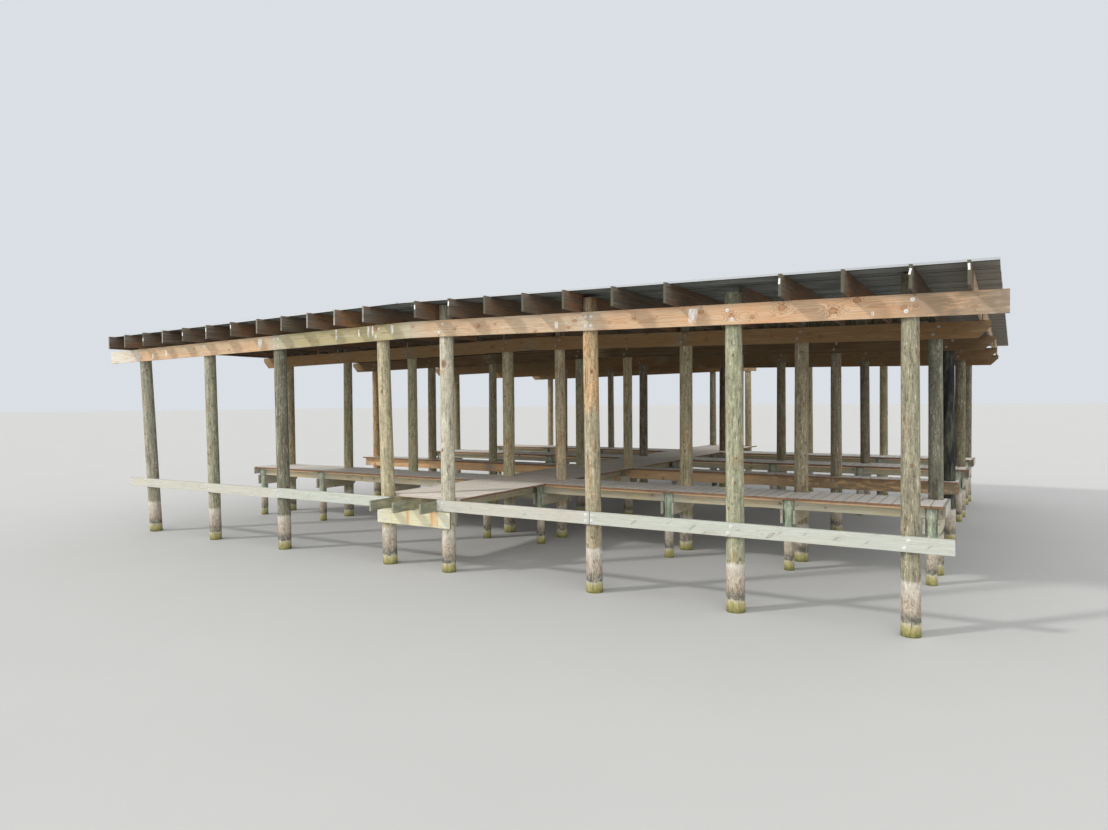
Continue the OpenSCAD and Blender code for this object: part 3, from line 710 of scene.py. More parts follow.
bumper["look"] = woodLook(
    light=(0.55, 0.58, 0.525), dark=(0.44, 0.455, 0.395), warm=(0.56, 0.53, 0.455),
    grey=0.35, greyLight=(0.60, 0.63, 0.60), greyDark=(0.42, 0.44, 0.415), endGrey=0.2,
    endLight=(0.58, 0.58, 0.53), endDark=(0.44, 0.44, 0.38), dirt=0.14, ring=0.010, ringShow=0.6, rim=0.2,
    knots=0.25, knotSize=0.015, knotShow=0.62, knotRim=(0.13, 0.13, 0.11), knotHeart=(0.42, 0.40, 0.33),
    knotTurn=34.0, knotSlim=0.28, swirl=0.25, stains=[bumper["joint"]],
    placed=[(x, z, size * bumper["knotScale"]) for x, z, size in bumper["knots"]],
)
dressSet(bumper)
print("jetty: boards dressed")

# Round piles

piles = {
    "slot": "pile_wood",
    "leans": [1.6, 1.2, 1.8, 4.5, 0.3, 0.7, 0.3, 0.2],  # front row, left columns then right, degrees
    "slims": [0.85, 0.98, 0.97, 0.92, 0.98, 0.89, 0.87, 0.86],
    "heads": [0.060, 0.070, 0.012, 0.012, 0.012, 0.050, 0.110, 0.018],
    "spread": 0.014,
    # upper wood of the front row, left columns from the walkway outwards, then right
    "tints": [(0.50, 0.45, 0.305), (0.195, 0.19, 0.145), (0.34, 0.335, 0.25), (0.34, 0.33, 0.265),
              (0.58, 0.55, 0.45), (0.57, 0.39, 0.22), (0.37, 0.375, 0.265), (0.30, 0.275, 0.20)],
    "sixthBelow": (0.40, 0.35, 0.24),  # the sixth pile is orange above, paler below
    "innerTints": [(0.42, 0.38, 0.25), (0.36, 0.31, 0.21), (0.46, 0.40, 0.26), (0.30, 0.26, 0.19),
                   (0.40, 0.33, 0.21)],
    # piles that stand out from their neighbours, by row and column
    "odd": {(1, 0): (0.56, 0.51, 0.34), (1, 1): (0.56, 0.52, 0.34), (1, 4): (0.60, 0.50, 0.34),
            (1, 7): (0.19, 0.19, 0.15), (2, 3): (0.50, 0.34, 0.18), (2, 7): (0.026, 0.028, 0.031),
            (3, 0): (0.26, 0.21, 0.16), (3, 5): (0.27, 0.225, 0.14), (3, 6): (0.24, 0.20, 0.15),
            (3, 7): (0.19, 0.165, 0.11), (4, 4): (0.15, 0.10, 0.065), (4, 7): (0.195, 0.17, 0.125)},
    "knots": [(0.70, 3.66, 0.045), (0.66, 2.15, 0.025), (-0.76, 3.2, 0.024), (3.62, 3.45, 0.022)],
    # headPaintedShade is painted shade: the pile heads above the headers are darkened for the roof's shadow
    # on them
    "headPaintedShade": 0.55,
}


def mixed(column, row, turn, start=0):  # -1 to 1, spread over the piles that were not measured
    return math.sin(math.radians(turn * (8 * row + column) + start))


def leanOf(column, row):
    return piles["leans"][column] if row == 0 else 0.35 * mixed(column, row, 99)


def slimOf(column, row):
    return piles["slims"][column] if row == 0 else 0.9 + 0.05 * mixed(column, row, 61)


def girthOf(column, row):
    return grid["pileAcross"] + piles["spread"] * mixed(column, row, 137.5, 40)


def headOf(column, row):
    if row == 0:
        under = piles["heads"][column]
    else:
        under = 0.025 + 0.035 * abs(math.sin(math.radians(77 * (5 * row + column))))
    return rafterSeat(grid["columns"][column % 4] + 0.15) + grid["headerTall"] - under


def roundWood(name, look):
    s = Shader(name)
    spot = s.stored("grain")  # across, across, along, from the pile's own axis
    x, y, height = s.split(spot)
    tint = s.stored("tint", "Color")
    tip = s.stored("tip", "Fac")
    streak = s.cloud(spot, (24.0, 24.0, 2.6), 4.0, 0.65)
    fibre = s.cloud(spot, (120.0, 120.0, 9.0))
    patch = s.cloud(spot, (7.0, 7.0, 1.6))
    mottle = s.cloud(spot, (26.0, 26.0, 12.0), 4.0, 0.75, 0.7)
    peel = s.cloud(spot, (44.0, 44.0, 17.0), 3.0, 0.7, 1.2)
    colour = s.times(tint, s.ramp(streak * 0.45 + mottle * 0.3 + peel * 0.25, look["streaks"]))
    colour = s.mix(patch.band(0.42, 0.68) * look["green"], colour, look["greenColour"])
    colour = s.times(colour, look["warmColour"], patch.band(0.46, 0.30) * look["warm"])
    colour = s.times(colour, look["fibreColour"], fibre.band(0.4, 0.7) * 0.35)
    colour = s.times(colour, look["mottleColour"], mottle.band(0.44, 0.32) * 0.7)
    flecks = s.cloud(spot, (60.0, 60.0, 7.0), 3.0, 0.65)
    pale = s.split(tint)[0].band(0.05, 0.20) * look["fleck"]  # a blackened pile has no pale flecks
    colour = s.mix(peel.band(0.56, 0.68) * streak.band(0.42, 0.58) * pale * 0.6, colour, look["fleckColour"])
    colour = s.mix(flecks.band(0.58, 0.68) * streak.band(0.45, 0.6) * pale, colour, look["fleckColour"])

    # knots: a dark rim round a redder heart
    cell = s.stretch(spot, (6.0, 6.0, 2.4))
    found = s.node("TexVoronoi", {"Vector": cell, "Scale": 1.0, "Randomness": 1.0}, "Position")
    near = s.node("VectorMath", {0: found, 1: cell}, operation="SUBTRACT")
    away = s.node("VectorMath", {0: s.stretch(near, (0.167, 0.167, 0.3))}, "Value", operation="LENGTH")
    knot = away.band(0.024, 0.016)
    heart = s.mix(away.band(0.016, 0.006), look["knotColour"], look["knotHeart"])
    colour = s.mix(knot * look["knotShow"], colour, heart)
    if look.get("placed"):  # large knots on the front of the first row
        eye = placedKnots(s, look["placed"], 90.0, 0.55) + (mottle - 0.5) * 0.9
        ahead = s.split(s.here())[1].band(grid["front"] - 0.05, grid["front"] - 0.09)
        eyeTone = s.mix(eye.band(0.15, 0.6), look["knotHeart"], look["knotColour"])
        colour = s.mix(eye.band(-0.1, 0.2) * ahead * 0.8, colour, eyeTone)

    # drying checks, drawn fine beside the ones cut in the mesh
    line = s.cloud(spot, (13.0, 13.0, 0.6), 1.0, 0.5)
    line = (1.0 - abs(line - 0.5) * 90.0).clamp() * patch.band(0.46, 0.56)
    crack = (line * 0.8).most(s.stored("check", "Fac").band(0.35, 0.9) * 0.8)

    # the foot: algae, a grey smudge above it, then bleached wood with brown specks
    marks = height + (s.cloud(spot, (11.0, 11.0, 5.0), 4.0, 0.65) - 0.5) * 0.13
    wet = s.ramp(marks / 0.9, look["marks"])
    smudge = s.cloud(spot, (13.0, 13.0, 14.0), 5.0, 0.8)
    black = marks.band(0.16, 0.19) * marks.band(0.37, 0.23) * (smudge.band(0.40, 0.60) * 0.75 + 0.25)
    wet = s.mix(black * look["blackShow"], wet, look["blackMark"])
    speck = peel.band(0.50, 0.62) * marks.band(0.22, 0.30) * marks.band(0.62, 0.46)
    wet = s.mix(speck * 0.75, wet, look["speckMark"])
    wet = s.times(wet, s.ramp(mottle, [(0.36, (0.70, 0.69, 0.68)), (0.6, (1.08, 1.08, 1.08))]))
    wet = s.times(wet, s.ramp(streak, [(0.3, (0.78, 0.78, 0.78)), (0.7, (1.08, 1.08, 1.08))]))
    wet = s.times(wet, look["wetFibreColour"], fibre.band(0.45, 0.72) * 0.3)
    colour = s.mix(marks.band(0.73, 0.66), colour, wet)
    colour = s.mix(crack * 0.9, colour, look["crackColour"])
    ring = ((x * x + y * y) ** 0.5 * 900.0).swing()
    colour = s.mix(tip, colour, s.mix(ring * 0.6, look["headLight"], look["headDark"]))
    bump = streak * 0.8 + fibre * 0.35 + mottle * 0.3 - crack * 1.4 + knot * 0.5
    rough = 0.86 - marks.band(0.2, 0.05) * 0.35
    return s.surface(colour, rough, height=bump, depth=0.004, shine=0.3)


piles["look"] = {
    "streaks": [(0.36, (0.40, 0.40, 0.40)), (0.46, (0.80, 0.80, 0.80)), (0.54, (1.12, 1.11, 1.08)),
                (0.64, (1.60, 1.57, 1.48))],
    "green": 0.3, "greenColour": (0.36, 0.38, 0.25), "warm": 0.7, "warmColour": (0.95, 0.72, 0.55),
    "fleck": 0.8, "fleckColour": (0.76, 0.75, 0.68), "placed": piles["knots"],
    "fibreColour": (0.42, 0.39, 0.35), "mottleColour": (0.42, 0.38, 0.32),
    "wetFibreColour": (0.5, 0.47, 0.42), "crackColour": (0.03, 0.026, 0.02),
    "knotShow": 0.8, "knotColour": (0.13, 0.065, 0.04), "knotHeart": (0.34, 0.17, 0.09),
    "headLight": (0.42, 0.35, 0.25), "headDark": (0.24, 0.18, 0.12),
    "blackMark": (0.085, 0.09, 0.08), "blackShow": 0.85, "speckMark": (0.26, 0.18, 0.12),
    "marks": [(0.0, (0.15, 0.155, 0.045)), (0.07, (0.36, 0.335, 0.125)), (0.14, (0.49, 0.445, 0.225)),
              (0.19, (0.60, 0.57, 0.43)), (0.23, (0.44, 0.41, 0.33)), (0.40, (0.53, 0.47, 0.38)),
              (0.62, (0.62, 0.57, 0.49)), (0.78, (0.70, 0.67, 0.59))],
}
posts = {
    "slot": "green_post_wood", "across": 0.18, "reach": 0.885, "top": 1.234,
    "tint": (0.34, 0.41, 0.30), "topTint": (0.48, 0.52, 0.43), "rows": {"a": 1, "c": 3, "d": 4},
    "look": dict(piles["look"], green=0.5, greenColour=(0.21, 0.36, 0.26), knotShow=0.4, warm=0.3, fleck=1.2,
                 placed=None),
}
pileWood = roundWood("pileWood", piles["look"])
postWood = roundWood("greenPostWood", posts["look"])
print("jetty: pile finishes ready")

poleMake = {             # metres
    "dips": 0.0035, "smallDips": 0.0015,  # how deep the surface is uneven, coarse and fine
    "crackDeep": (0.004, 0.008), "crackLong": (0.4, 1.4), "crackFrom": 0.5, "crackSwing": 0.05,
    "headColour": (0.3, 0.25, 0.18, 1.0),
}


def checkLines(around, top, checks, chance):
    # directions of the mesh lines, with three close ones where a crack is cut
    cracks = []
    for k in range(checks):
        middle = math.tau * (k + chance.uniform(0.1, 0.9)) / checks
        low = chance.uniform(poleMake["crackFrom"], top * 0.6)
        cracks.append((middle, low, low + chance.uniform(*poleMake["crackLong"]),
                       chance.uniform(*poleMake["crackDeep"]), chance.uniform(0, 50)))
    lines = []
    for k in range(around):
        turn = math.tau * k / around
        if all(abs((turn - c[0] + math.pi) % math.tau - math.pi) > 0.1 for c in cracks):
            lines.append((turn, None, 0))
    for c in cracks:
        lines += [((c[0] + side * 0.028) % math.tau, c, side) for side in (-1, 0, 1)]
    return sorted(lines, key=lambda line: line[0])


def ringHeights(top, rise, notches):
    heights = [0.0]
    while heights[-1] < top - rise * 0.6:
        heights.append(heights[-1] + rise)
    heights = [h for h in heights if h < top - 0.01] + [top]
    for h in notches:
        if 0 < h < top:
            heights += [h - 0.0006, h + 0.0006]
    return sorted(set(heights))


def uneven(kind, x, y, z):
    return poleMake[kind] * (0.5 + 0.5 * noise.noise(Vector((x, y, z))))


def addPole(shell, tree, pole, tint, chance):
    # one pole as stacked rings, its radius read from the solid so that every notch is kept
    top, axis = pole["top"], pole["axis"]
    heights = ringHeights(top, pole["rise"], pole["notches"])
    lines = checkLines(pole["around"], top, pole["checks"], chance)
    seed = chance.uniform(0, 200)
    base, count = len(shell["points"]), len(lines)

    def addPoint(spot, centre, height, mark, cast):
        shell["points"].append(spot)
        shell["grain"].append((spot.x - centre.x + seed, spot.y - centre.y + seed * 0.37, height))
        shell["check"].append(mark)
        shell["tint"].append(cast)

    for h in heights:
        centre = axis(h)
        for turn, c, side in lines:
            swing = poleMake["crackSwing"] * noise.noise(Vector((h * 1.1, c[4], 0.0))) if c else 0.0
            way = Vector((math.cos(turn + swing), math.sin(turn + swing), 0))
            hit = tree.ray_cast(Vector((centre.x, centre.y, min(max(h, 0.0005), top - 0.0005))), way)[0]
            reach = (hit - Vector((centre.x, centre.y, hit.z))).length if hit else pole["radiusAt"](h)
            dip = uneven("dips", way.x * 1.6 + seed, way.y * 1.6, h * 1.3)
            dip += uneven("smallDips", way.x * 9 + seed, way.y * 9, h * 2.2)
            mark = 0.0
            if c and side == 0 and c[1] < h < c[2]:
                mark = math.sin(math.pi * (h - c[1]) / (c[2] - c[1])) ** 0.6
                dip += c[3] * mark
            addPoint(Vector((centre.x, centre.y, h)) + way * (reach - dip), centre, h, mark, tint(h, way))
    for ring in range(len(heights) - 1):
        for k in range(count):
            a, b = (base + ring * count + i % count for i in (k, k + 1))
            shell["faces"].append((a, b, b + count, a + count))
            shell["tip"].append(0.0)
    for ring, h in ((0, 0.0), (len(heights) - 1, top)):
        middle = len(shell["points"])
        addPoint(Vector((axis(h).x, axis(h).y, h)), axis(h), top, 0.0, poleMake["headColour"])
        for k in range(count):
            a, b = (base + ring * count + i % count for i in (k, k + 1))
            shell["faces"].append((a, b, middle) if ring else (b, a, middle))
            shell["tip"].append(1.0 if ring else 0.0)


def turnPoles(nodeName, onePole, columns, row, seed, material):
    work = bmesh.new()
    work.from_mesh(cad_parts[nodeName].data)
    tree = BVHTree.FromBMesh(work)
    work.free()
    chance = random.Random(seed)
    shell = newShell("grain", "check", "tint", "tip")
    for column in range(columns):
        onePole(shell, column, row, tree, chance)
    addWood(nodeName, shell, material, smooth=True)


def blend(first, second, share):  # the share is kept between 0 and 1
    share = min(1.0, max(0.0, share))
    return [a + (b - a) * share for a, b in zip(first, second)]


def pileTint(column, row, chance):
    shade = chance.uniform(0.88, 1.12)
    base = chance.choice(piles["innerTints"])
    if row == 0:
        base, shade = piles["tints"][column], 1.0
    base = piles["odd"].get((row, column), base)

    def tint(h, way):
        colour = [value * shade for value in base]
        if row == 0 and column == 5:
            edge = 3.0 + 0.25 * noise.noise(Vector((way.x * 2, way.y * 2, 4.0)))
            colour = blend(colour, piles["sixthBelow"], (edge - h) / 0.25)
        # painted shade: from the header's underside up, the pile is darkened to headPaintedShade for the
        # roof's shadow
        head = (h - headerUnder(columnAt(column)) + 0.02) / 0.12
        return (*blend(colour, [value * piles["headPaintedShade"] for value in colour], head), 1.0)

    return tint


def addPile(shell, column, row, tree, chance):
    across = girthOf(column, row)
    top = headOf(column, row)
    thinning = across * (1 - slimOf(column, row)) / top
    lean = math.radians(leanOf(column, row))
    foot = place(columnAt(column), grid["rows"][row], 0)

    def radiusAt(h):
        return across / 2 - h * thinning / 2

    def axis(h):
        return Vector((foot.x - h * math.tan(lean), foot.y - grid["pileAcross"] / 2 + radiusAt(h), h))

    seat = rafterSeat(grid["columns"][column % 4])
    pole = {"axis": axis, "radiusAt": radiusAt, "top": top, "around": 30, "rise": 0.14, "checks": 3,
            "notches": [seat - 0.012, seat - 0.004, seat + 0.004, seat + 0.012]}
    if row == 0:
        pole.update(around=48, rise=0.075, checks=4)
    if row in posts["rows"].values():  # notches for the cross beams
        pole["notches"] += [0.833, 1.068]
    addPole(shell, tree, pole, pileTint(column, row, chance), chance)


def addPost(shell, column, row, tree, chance):
    foot = place(columnAt(column), grid["rows"][row] - posts["reach"], 0)
    pole = {"axis": lambda h: Vector((foot.x, foot.y, h)), "radiusAt": lambda h: posts["across"] / 2,
            "top": posts["top"], "around": 28, "rise": 0.08, "checks": 3, "notches": []}

    def tint(h, way):
        return (*blend(posts["tint"], posts["topTint"], (h - 0.95) / 0.2), 1.0)

    addPole(shell, tree, pole, tint, chance)


for row in range(6):
    turnPoles(f"row_{row + 1}_piles", addPile, 8 if row < 5 else 5, row, 40 + row, pileWood)
print("jetty: piles turned")
for letter, row in posts["rows"].items():
    turnPoles(f"finger_{letter}_posts", addPost, 8, row, 70 + row, postWood)
print("jetty: posts turned")

# Roof sheets: spangled zinc above, weathered dark below

roof = {
    "slot": "roof_metal", "nodes": ["roof_sheets_left", "roof_sheets_right"],
    "zinc": (0.45, 0.47, 0.49), "zincDark": (0.34, 0.36, 0.38), "under": (0.20, 0.215, 0.20),
    # underLitEnd is painted light on the underside's right end
    "underDark": (0.10, 0.11, 0.10), "underLitEnd": (0.28, 0.24, 0.185), "rust": (0.30, 0.13, 0.05),
    # painted shade for the small ribs' grooves and painted highlight for their crests
    "grooveShade": (0.04, 0.045, 0.04), "crestHighlight": (0.30, 0.32, 0.31),
    "edge": (0.34, 0.36, 0.38), "wave": 0.0676,  # small ribs pressed in the sheet
}


def roofMetal():
    s = Shader("roofMetal")
    spot = s.here()
    x, y = s.split(spot)[:2]
    upward = s.upward()
    grains = s.split(s.node("TexVoronoi", {"Vector": spot, "Scale": 70.0}, "Color"))[0]
    runs = s.cloud(spot, (0.7, 9.0, 2.0))
    cloudy = s.cloud(spot, (1.5, 2.5, 1.0))
    top = s.mix(grains * 0.35 + runs.band(0.4, 0.7) * 0.5, roof["zinc"], roof["zincDark"])
    top = s.mix(upward.band(0.75, 0.3) * 0.8, top, roof["edge"])
    wave = (y * (math.tau / roof["wave"])).swing()
    under = s.mix(cloudy.band(0.35, 0.65), roof["under"], roof["underDark"])
    # painted light: towards the right end, from x 7.6 m, the underside turns lighter brown, for light thrown
    # up on it from below
    under = s.mix(x.band(7.6, 9.2) * 0.8, under, roof["underLitEnd"])
    # painted shade in the small ribs' grooves and painted highlight on their crests; the ribs themselves are
    # only in the bump, not the mesh
    under = s.mix((1.0 - wave) ** 2.0 * 0.75, under, roof["grooveShade"])
    under = s.mix(wave ** 6.0 * 0.5, under, roof["crestHighlight"])
    below = upward.band(0.05, -0.25)
    specks = s.cloud(spot, (14.0, 22.0, 14.0), 4.0, 0.7).band(0.68, 0.76)
    colour = s.mix(specks * 0.3, s.mix(below, top, under), roof["rust"])
    dull = s.node("Mix", {0: below, 2: 0.38 + grains * 0.12 + cloudy * 0.1, 3: 0.75}, data_type="FLOAT")
    height = wave * below * 4.0 + grains * 0.05 + runs * 0.1
    return s.surface(colour, dull, 0.45 - below * 0.4, height=height, strength=0.4)


sheetMetal = roofMetal()
for nodeName in roof["nodes"]:
    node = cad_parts[nodeName]
    node.data.materials.clear()
    node.data.materials.append(sheetMetal)
print("jetty: roof sheets finished")

# Bolts, screws and tags

def zincMaterial(name, light, dark, rust, show, metal):
    s = Shader(name)
    cloudy = s.cloud(s.here(), 60.0)
    colour = s.mix(cloudy.band(0.35, 0.65), light, dark)
    colour = s.mix(s.cloud(s.here(), 23.0, 4.0, 0.7).band(0.52, 0.66) * show, colour, rust)
    return s.surface(colour, 0.42 + cloudy * 0.25, metal, height=cloudy, depth=0.0004, strength=0.3)


zincs = {                # light, dark and rusty colour, how much rust shows, how metallic it is
    "boltZinc": ((0.84, 0.84, 0.82), (0.62, 0.62, 0.60), (0.34, 0.17, 0.08), 0.25, 0.3),
    "oldZinc": ((0.42, 0.40, 0.37), (0.26, 0.24, 0.21), (0.24, 0.12, 0.06), 0.5, 0.3),
    "screwZinc": ((0.45, 0.45, 0.44), (0.28, 0.28, 0.27), (0.24, 0.11, 0.05), 0.5, 0.6),
}
boltZinc, oldZinc, screwZinc = [zincMaterial(name, *values) for name, values in zincs.items()]


def turned(points, faces, centre, axes, rings, sides, spin=0.0):
    # axes point right, up and outwards; rings are (radius, height) pairs, the last one closed by one face
    base = len(points)
    right, up, out = axes
    for radius, rise in rings:
        for k in range(sides):
            a = spin + math.tau * k / sides
            points.append(centre + right * (math.cos(a) * radius) + up * (math.sin(a) * radius) + out * rise)
    for r in range(len(rings) - 1):
        for k in range(sides):
            a, b = base + r * sides + k, base + r * sides + (k + 1) % sides
            faces.append((a, b, b + sides, a + sides))
    faces.append(tuple(base + (len(rings) - 1) * sides + k for k in range(sides)))


bolts = {"washer": 0.027, "washerThick": 0.004, "headAcross": 0.0125, "headTall": 0.009, "inset": 0.0015}


def boltPiece(name, places, seed, material=boltZinc):  # places are points on a board's front side
    chance = random.Random(seed)
    axes = Vector((1, 0, 0)), Vector((0, 0, 1)), Vector((0, -1, 0))
    head, tall = bolts["headAcross"], bolts["headTall"]
    thick = bolts["washerThick"] + bolts["inset"]
    points, faces = [], []
    for point in places:
        start = point - axes[2] * bolts["inset"]
        wide = bolts["washer"] * chance.uniform(0.95, 1.05)
        washer = [(wide, 0.0), (wide, thick - 0.001), (wide - 0.001, thick), (wide * 0.6, thick)]
        turned(points, faces, start, axes, washer, 22)
        turned(points, faces, start + axes[2] * (thick - 0.0005), axes,
               [(head, 0.0), (head, tall - 0.002), (head * 0.86, tall)], 6, chance.uniform(0, 1))
        turned(points, faces, start + axes[2] * (thick + tall - 0.001), axes,
               [(head * 0.5, 0.0), (head * 0.5, 0.004), (head * 0.4, 0.005)], 10)
    addPiece(newMesh(name, points, faces), material)


def leaningAt(column, height):  # x of a front pile's middle at that height
    return columnAt(column) - math.tan(math.radians(leanOf(column, 0))) * height


# Bolt places are (sideways from the pile's middle, height above the board's lower edge)
headerBolts = {
    "joint": [(-0.05, 0.07), (-0.055, 0.21), (0.05, 0.08), (0.05, 0.215)],
    "seventh": [(-0.035, 0.20), (0.03, 0.075)],
    "others": [(0.045, 0.215), (-0.03, 0.075)],
    "height": 4.25,
}
spots = []
for column in range(8):
    if column % 4 == 1:  # four bolts where two boards meet
        x, pairs = columnAt(column), headerBolts["joint"]
    else:
        x = leaningAt(column, headerBolts["height"])
        pairs = headerBolts["seventh" if column == 6 else "others"]
    spots += [place(x + dx, boardFace, headerUnder(x) + z) for dx, z in pairs]
boltPiece("front_header_bolts", spots, 1)

innerBolts = {"nearest": 0.02, "farthest": 0.06, "heights": {1: 0.21, -1: 0.08}}  # right and left bolt
chance = random.Random(5)
spots = []
for row in range(1, 6):
    for column in range(8 if row < 5 else 5):
        x = columnAt(column)
        for side, z in innerBolts["heights"].items():
            dx = side * chance.uniform(innerBolts["nearest"], innerBolts["farthest"])
            spots.append(place(x + dx, grid["rows"][row] + boardFace, headerUnder(x) + z))
boltPiece("inner_header_bolts", spots, 2, oldZinc)

# The rest have their height above the floor
bumperBolts = {
    "left": [(-0.045, 1.205), (0.04, 1.11)], "right": [(-0.01, 1.225), (-0.055, 1.13)],
    "sixth": [(-0.055, 1.225), (-0.05, 1.13), (0.055, 1.22), (0.05, 1.135)],
    "height": 1.17, "from": 0.59,
}
spots = []
for column in range(8):
    x = leaningAt(column, bumperBolts["height"])
    pairs = bumperBolts["sixth" if column == 5 else "left" if column < 4 else "right"]
    spots += [place(x + dx, boardFace, z) for dx, z in pairs if abs(x + dx) > bumperBolts["from"]]
boltPiece("bumper_bolts", spots, 3)

capBolts = {"middles": [-0.72, 0.70], "pairs": [(-0.04, 0.985), (0.05, 0.86)]}
spots = [place(x + dx, boardFace, z) for x in capBolts["middles"] for dx, z in capBolts["pairs"]]
boltPiece("cap_board_bolts", spots, 4)

beamBolts = {"pairs": [(-0.04, 1.20), (0.045, 1.07)], "row": 2, "from": 0.62}
face = grid["rows"][beamBolts["row"]] + boardFace
places = [(columnAt(column) + dx, z) for column in range(8) for dx, z in beamBolts["pairs"]]
spots = [place(x, face, z) for x, z in places if abs(x) > beamBolts["from"]]
boltPiece("narrow_finger_bolts", spots, 6, oldZinc)
print("jetty: bolts set")

screws = {
    "head": 0.0045, "sunk": 0.0006, "inFromEdge": 0.035, "boardWide": 0.184, "pitch": 0.189,
    "walkwayLines": (-0.534, 0.0, 0.534), "walkwayStart": 0.06, "walkwayEnd": 18.42, "fingerStart": 0.9285,
    "fingerEnds": {"a": (8.29, 8.29), "b": (8.476, 8.29), "c": (8.29, 8.332), "d": (8.31, 8.31)},
    "wideLines": (-0.885, -0.4425, 0.0), "narrowLines": (-0.15, 0.178),
    "pileClear": 0.16,  # no screw nearer to a pile's middle than this
}


def screwPiece(name, spots):
    head, sunk = screws["head"], screws["sunk"]
    axes = Vector((1, 0, 0)), Vector((0, 1, 0)), Vector((0, 0, 1))
    points, faces = [], []
    for spot in spots:
        turned(points, faces, spot, axes, [(head, -0.001), (head, sunk), (head * 0.5, sunk * 0.4)], 8)
    addPiece(newMesh(name, points, faces), screwZinc)


def stray(reach):  # how far a screw is from its line
    return chance.uniform(-reach, reach)


chance = random.Random(8)
insets = (screws["inFromEdge"], screws["boardWide"] - screws["inFromEdge"])
spots = []
for i in range(int((screws["walkwayEnd"] - screws["walkwayStart"]) / screws["pitch"])):
    for x in screws["walkwayLines"]:
        for dy in insets:
            y = screws["walkwayStart"] + i * screws["pitch"] + dy
            spots.append(place(x + stray(0.008), y + stray(0.006), grid["deck"]))
screwPiece("walkway_screws", spots)
for row, (letter, ends) in enumerate(screws["fingerEnds"].items(), 1):
    spots = []
    lines = screws["narrowLines" if letter == "b" else "wideLines"]
    for side, end in zip((-1, 1), ends):
        for i in range(int((end - screws["fingerStart"]) / screws["pitch"])):
            for dx, dy in ((dx, dy) for dx in insets for dy in lines):
                x = side * (screws["fingerStart"] + i * screws["pitch"] + dx) + stray(0.006)
                near = min(abs(abs(x) - c) for c in grid["columns"])
                if abs(dy) > 0.05 or near >= screws["pileClear"]:
                    spots.append(place(x, grid["rows"][row] + dy + stray(0.007), grid["deck"]))
    screwPiece(f"finger_{letter}_screws", spots)
print("jetty: deck screws set")

# Roof screws stand in the flats beside the ribs, over the rafters
roofScrews = {
    "front": -0.53, "sheet": 0.93, "sheets": {-1: 21, 1: 17}, "flat": 0.108, "ribs": 3,
    "lines": [0.745, 1.4, 2.1, 2.8, 3.51, 4.2, 4.95, 5.85, 6.55, 7.3, 8.15, 8.77],
    "rings": [(0.009, -0.0005), (0.009, 0.0012), (0.0045, 0.0014), (0.0045, 0.006)],  # washer, then head
    "sheetTop": rafterSeat(0.0) + grid["headerTall"] + 0.0021,  # at the ridge
}
points, faces = [], []
for side, sheets in roofScrews["sheets"].items():
    slope = Vector((side * grid["fall"], 0, 1)).normalized()
    axes = Vector((1, 0, -side * grid["fall"])).normalized(), Vector((0, 1, 0)), slope
    for rib in range(sheets * roofScrews["ribs"]):
        y = roofScrews["front"] + rib / roofScrews["ribs"] * roofScrews["sheet"] + roofScrews["flat"]
        for x in roofScrews["lines"]:
            up = roofScrews["sheetTop"] - grid["fall"] * x
            spot = place(side * x + stray(0.006), y + stray(0.006), up)
            turned(points, faces, spot, axes, roofScrews["rings"], 6)
addPiece(newMesh("roof_screws", points, faces), screwZinc)
print("jetty: roof screws set")

# Blank tags stapled on the ends of some rafters: x, height above the rafter's lower edge, tilt in degrees
tags = {
    "wide": 0.024, "tall": 0.075, "stand": 0.0005, "front": -0.6775, "slot": "rafter_wood",
    "colour": (0.86, 0.86, 0.84), "edge": (0.62, 0.61, 0.57),
    "places": [(6.648, 0.19, -4), (8.17, 0.20, -14), (8.78, 0.21, 4), (-7.40, 0.13, 6), (-5.95, 0.15, 3),
               (-5.147, 0.18, -5), (-4.343, 0.19, 6), (0.54, 0.18, 3), (1.266, 0.20, -3)],
}


def tagPaper():
    s = Shader("tagPaper")
    worn = s.cloud(s.here(), 90.0)
    colour = s.mix(worn.band(0.5, 0.72) * 0.6, tags["colour"], tags["edge"])
    return s.surface(colour, 0.5 + worn * 0.2, height=worn, depth=0.0003, strength=0.3)


points, faces = [], []
for x, up, tilt in tags["places"]:
    middle = place(x, tags["front"] - tags["stand"] * 0.5, rafterSeat(x) + up)
    c, n = math.cos(math.radians(tilt)), math.sin(math.radians(tilt))
    right, above = Vector((c, 0, n)), Vector((-n, 0, c))
    base = len(points)
    for k in range(5):  # five cross lines, curling off the wood at both ends
        v = k / 4 - 0.5
        curl = tags["stand"] * (1.0 + 6.0 * v * v)
        for u in (-0.5, 0.5):
            spot = middle + right * (u * tags["wide"]) + above * (v * tags["tall"])
            points += [spot - Vector((0, curl + depth, 0)) for depth in (0.0, tags["stand"])]
    for a in range(base, base + 16, 4):
        faces += [(a + 1, a + 3, a + 7, a + 5), (a, a + 4, a + 6, a + 2), (a, a + 1, a + 5, a + 4),
                  (a + 2, a + 6, a + 7, a + 3)]
    faces += [(base, base + 2, base + 3, base + 1), (base + 16, base + 17, base + 19, base + 18)]
addPiece(newMesh("rafter_tags", points, faces), tagPaper())
print("jetty: tags set")

# Floor, light and camera

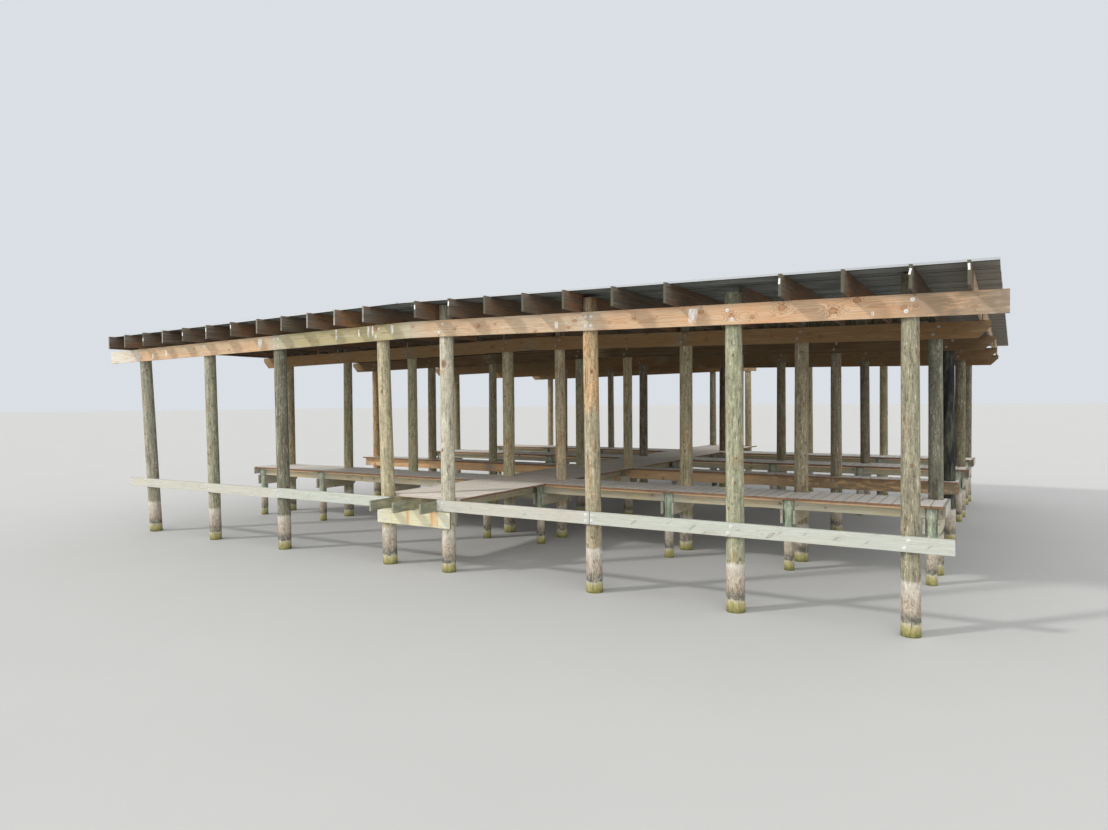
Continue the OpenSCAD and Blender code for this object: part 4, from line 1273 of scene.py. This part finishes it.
stage = {
    "reach": 400.0, "floor": (0.50, 0.51, 0.515), "floorDark": (0.47, 0.48, 0.485),
    "background": (0.70, 0.74, 0.78), "sky": (1.0, 0.99, 0.97), "skyStrength": 0.8,
    # lamps: strength, softness in degrees, where the light comes from, colour
    "lamps": {
        "keyLight": (1.6, 5.0, (-0.92, -1.0, 0.92), (1.0, 0.96, 0.90)),
        "frontFill": (0.58, 60.0, (0.35, -1.0, 0.36), (1.0, 0.97, 0.92)),
        "highFill": (0.72, 60.0, (0.2, -1.0, 1.0), (1.0, 0.98, 0.95)),
        "sideFill": (0.3, 60.0, (1.0, 0.1, 0.5), (1.0, 0.98, 0.95)),
        "backFill": (0.4, 60.0, (0.3, 1.0, 0.35), (1.0, 0.98, 0.95)),
    },
}


def stageFloor():
    reach, under = stage["reach"], -0.001
    corners = [(-reach, -reach, under), (reach, -reach, under), (reach, 2 * reach, under),
               (-reach, 2 * reach, under)]
    mesh = newMesh("pale_floor", corners, [(0, 1, 2, 3)])
    floor = bpy.data.objects.new("pale_floor", mesh)
    bpy.context.scene.collection.objects.link(floor)
    s = Shader("paleFloor")
    mesh.materials.append(s.surface(s.mix(s.cloud(s.here(), 0.35), stage["floor"], stage["floorDark"]), 0.9))


stageFloor()

for name, (strength, soft, source, colour) in stage["lamps"].items():
    lamp = bpy.data.lights.new(name, "SUN")
    lamp.energy = strength
    lamp.angle = math.radians(soft)
    lamp.color = colour
    holder = bpy.data.objects.new(name, lamp)
    bpy.context.scene.collection.objects.link(holder)
    holder.rotation_euler = Vector(source).to_track_quat("Z", "Y").to_euler()

# The background is seen by the camera and by shiny surfaces only; the sky lights everything else
s = Shader("paleWorld", "World")
ray = s.node("LightPath", out="Is Camera Ray")
lit = s.node("Background", {0: stage["sky"], 1: stage["skyStrength"]})
seen = s.node("Background", {0: stage["background"]})
shiny = ray.also("Is Glossy Ray")
bpy.context.scene.world = s.close(s.node("MixShader", {0: ray.most(shiny), 1: lit, 2: seen}))

view = {"at": (9.369, -19.66, 2.966), "turn": 30.909, "tip": -0.903, "roll": -0.325, "lens": 24.615}
camera = bpy.data.cameras.new("photoView")
camera.sensor_width = 36.0
camera.lens = view["lens"]
camera.clip_end = 2000.0
holder = bpy.data.objects.new("photoView", camera)
bpy.context.scene.collection.objects.link(holder)
holder.matrix_world = (Matrix.Translation(Vector(view["at"]))
                       @ Matrix.Rotation(math.radians(view["turn"]), 4, "Z")
                       @ Matrix.Rotation(math.radians(90 + view["tip"]), 4, "X")
                       @ Matrix.Rotation(math.radians(view["roll"]), 4, "Z"))
bpy.context.scene.camera = holder
bpy.context.scene.view_settings.view_transform = "Standard"
print("jetty: light and camera ready")
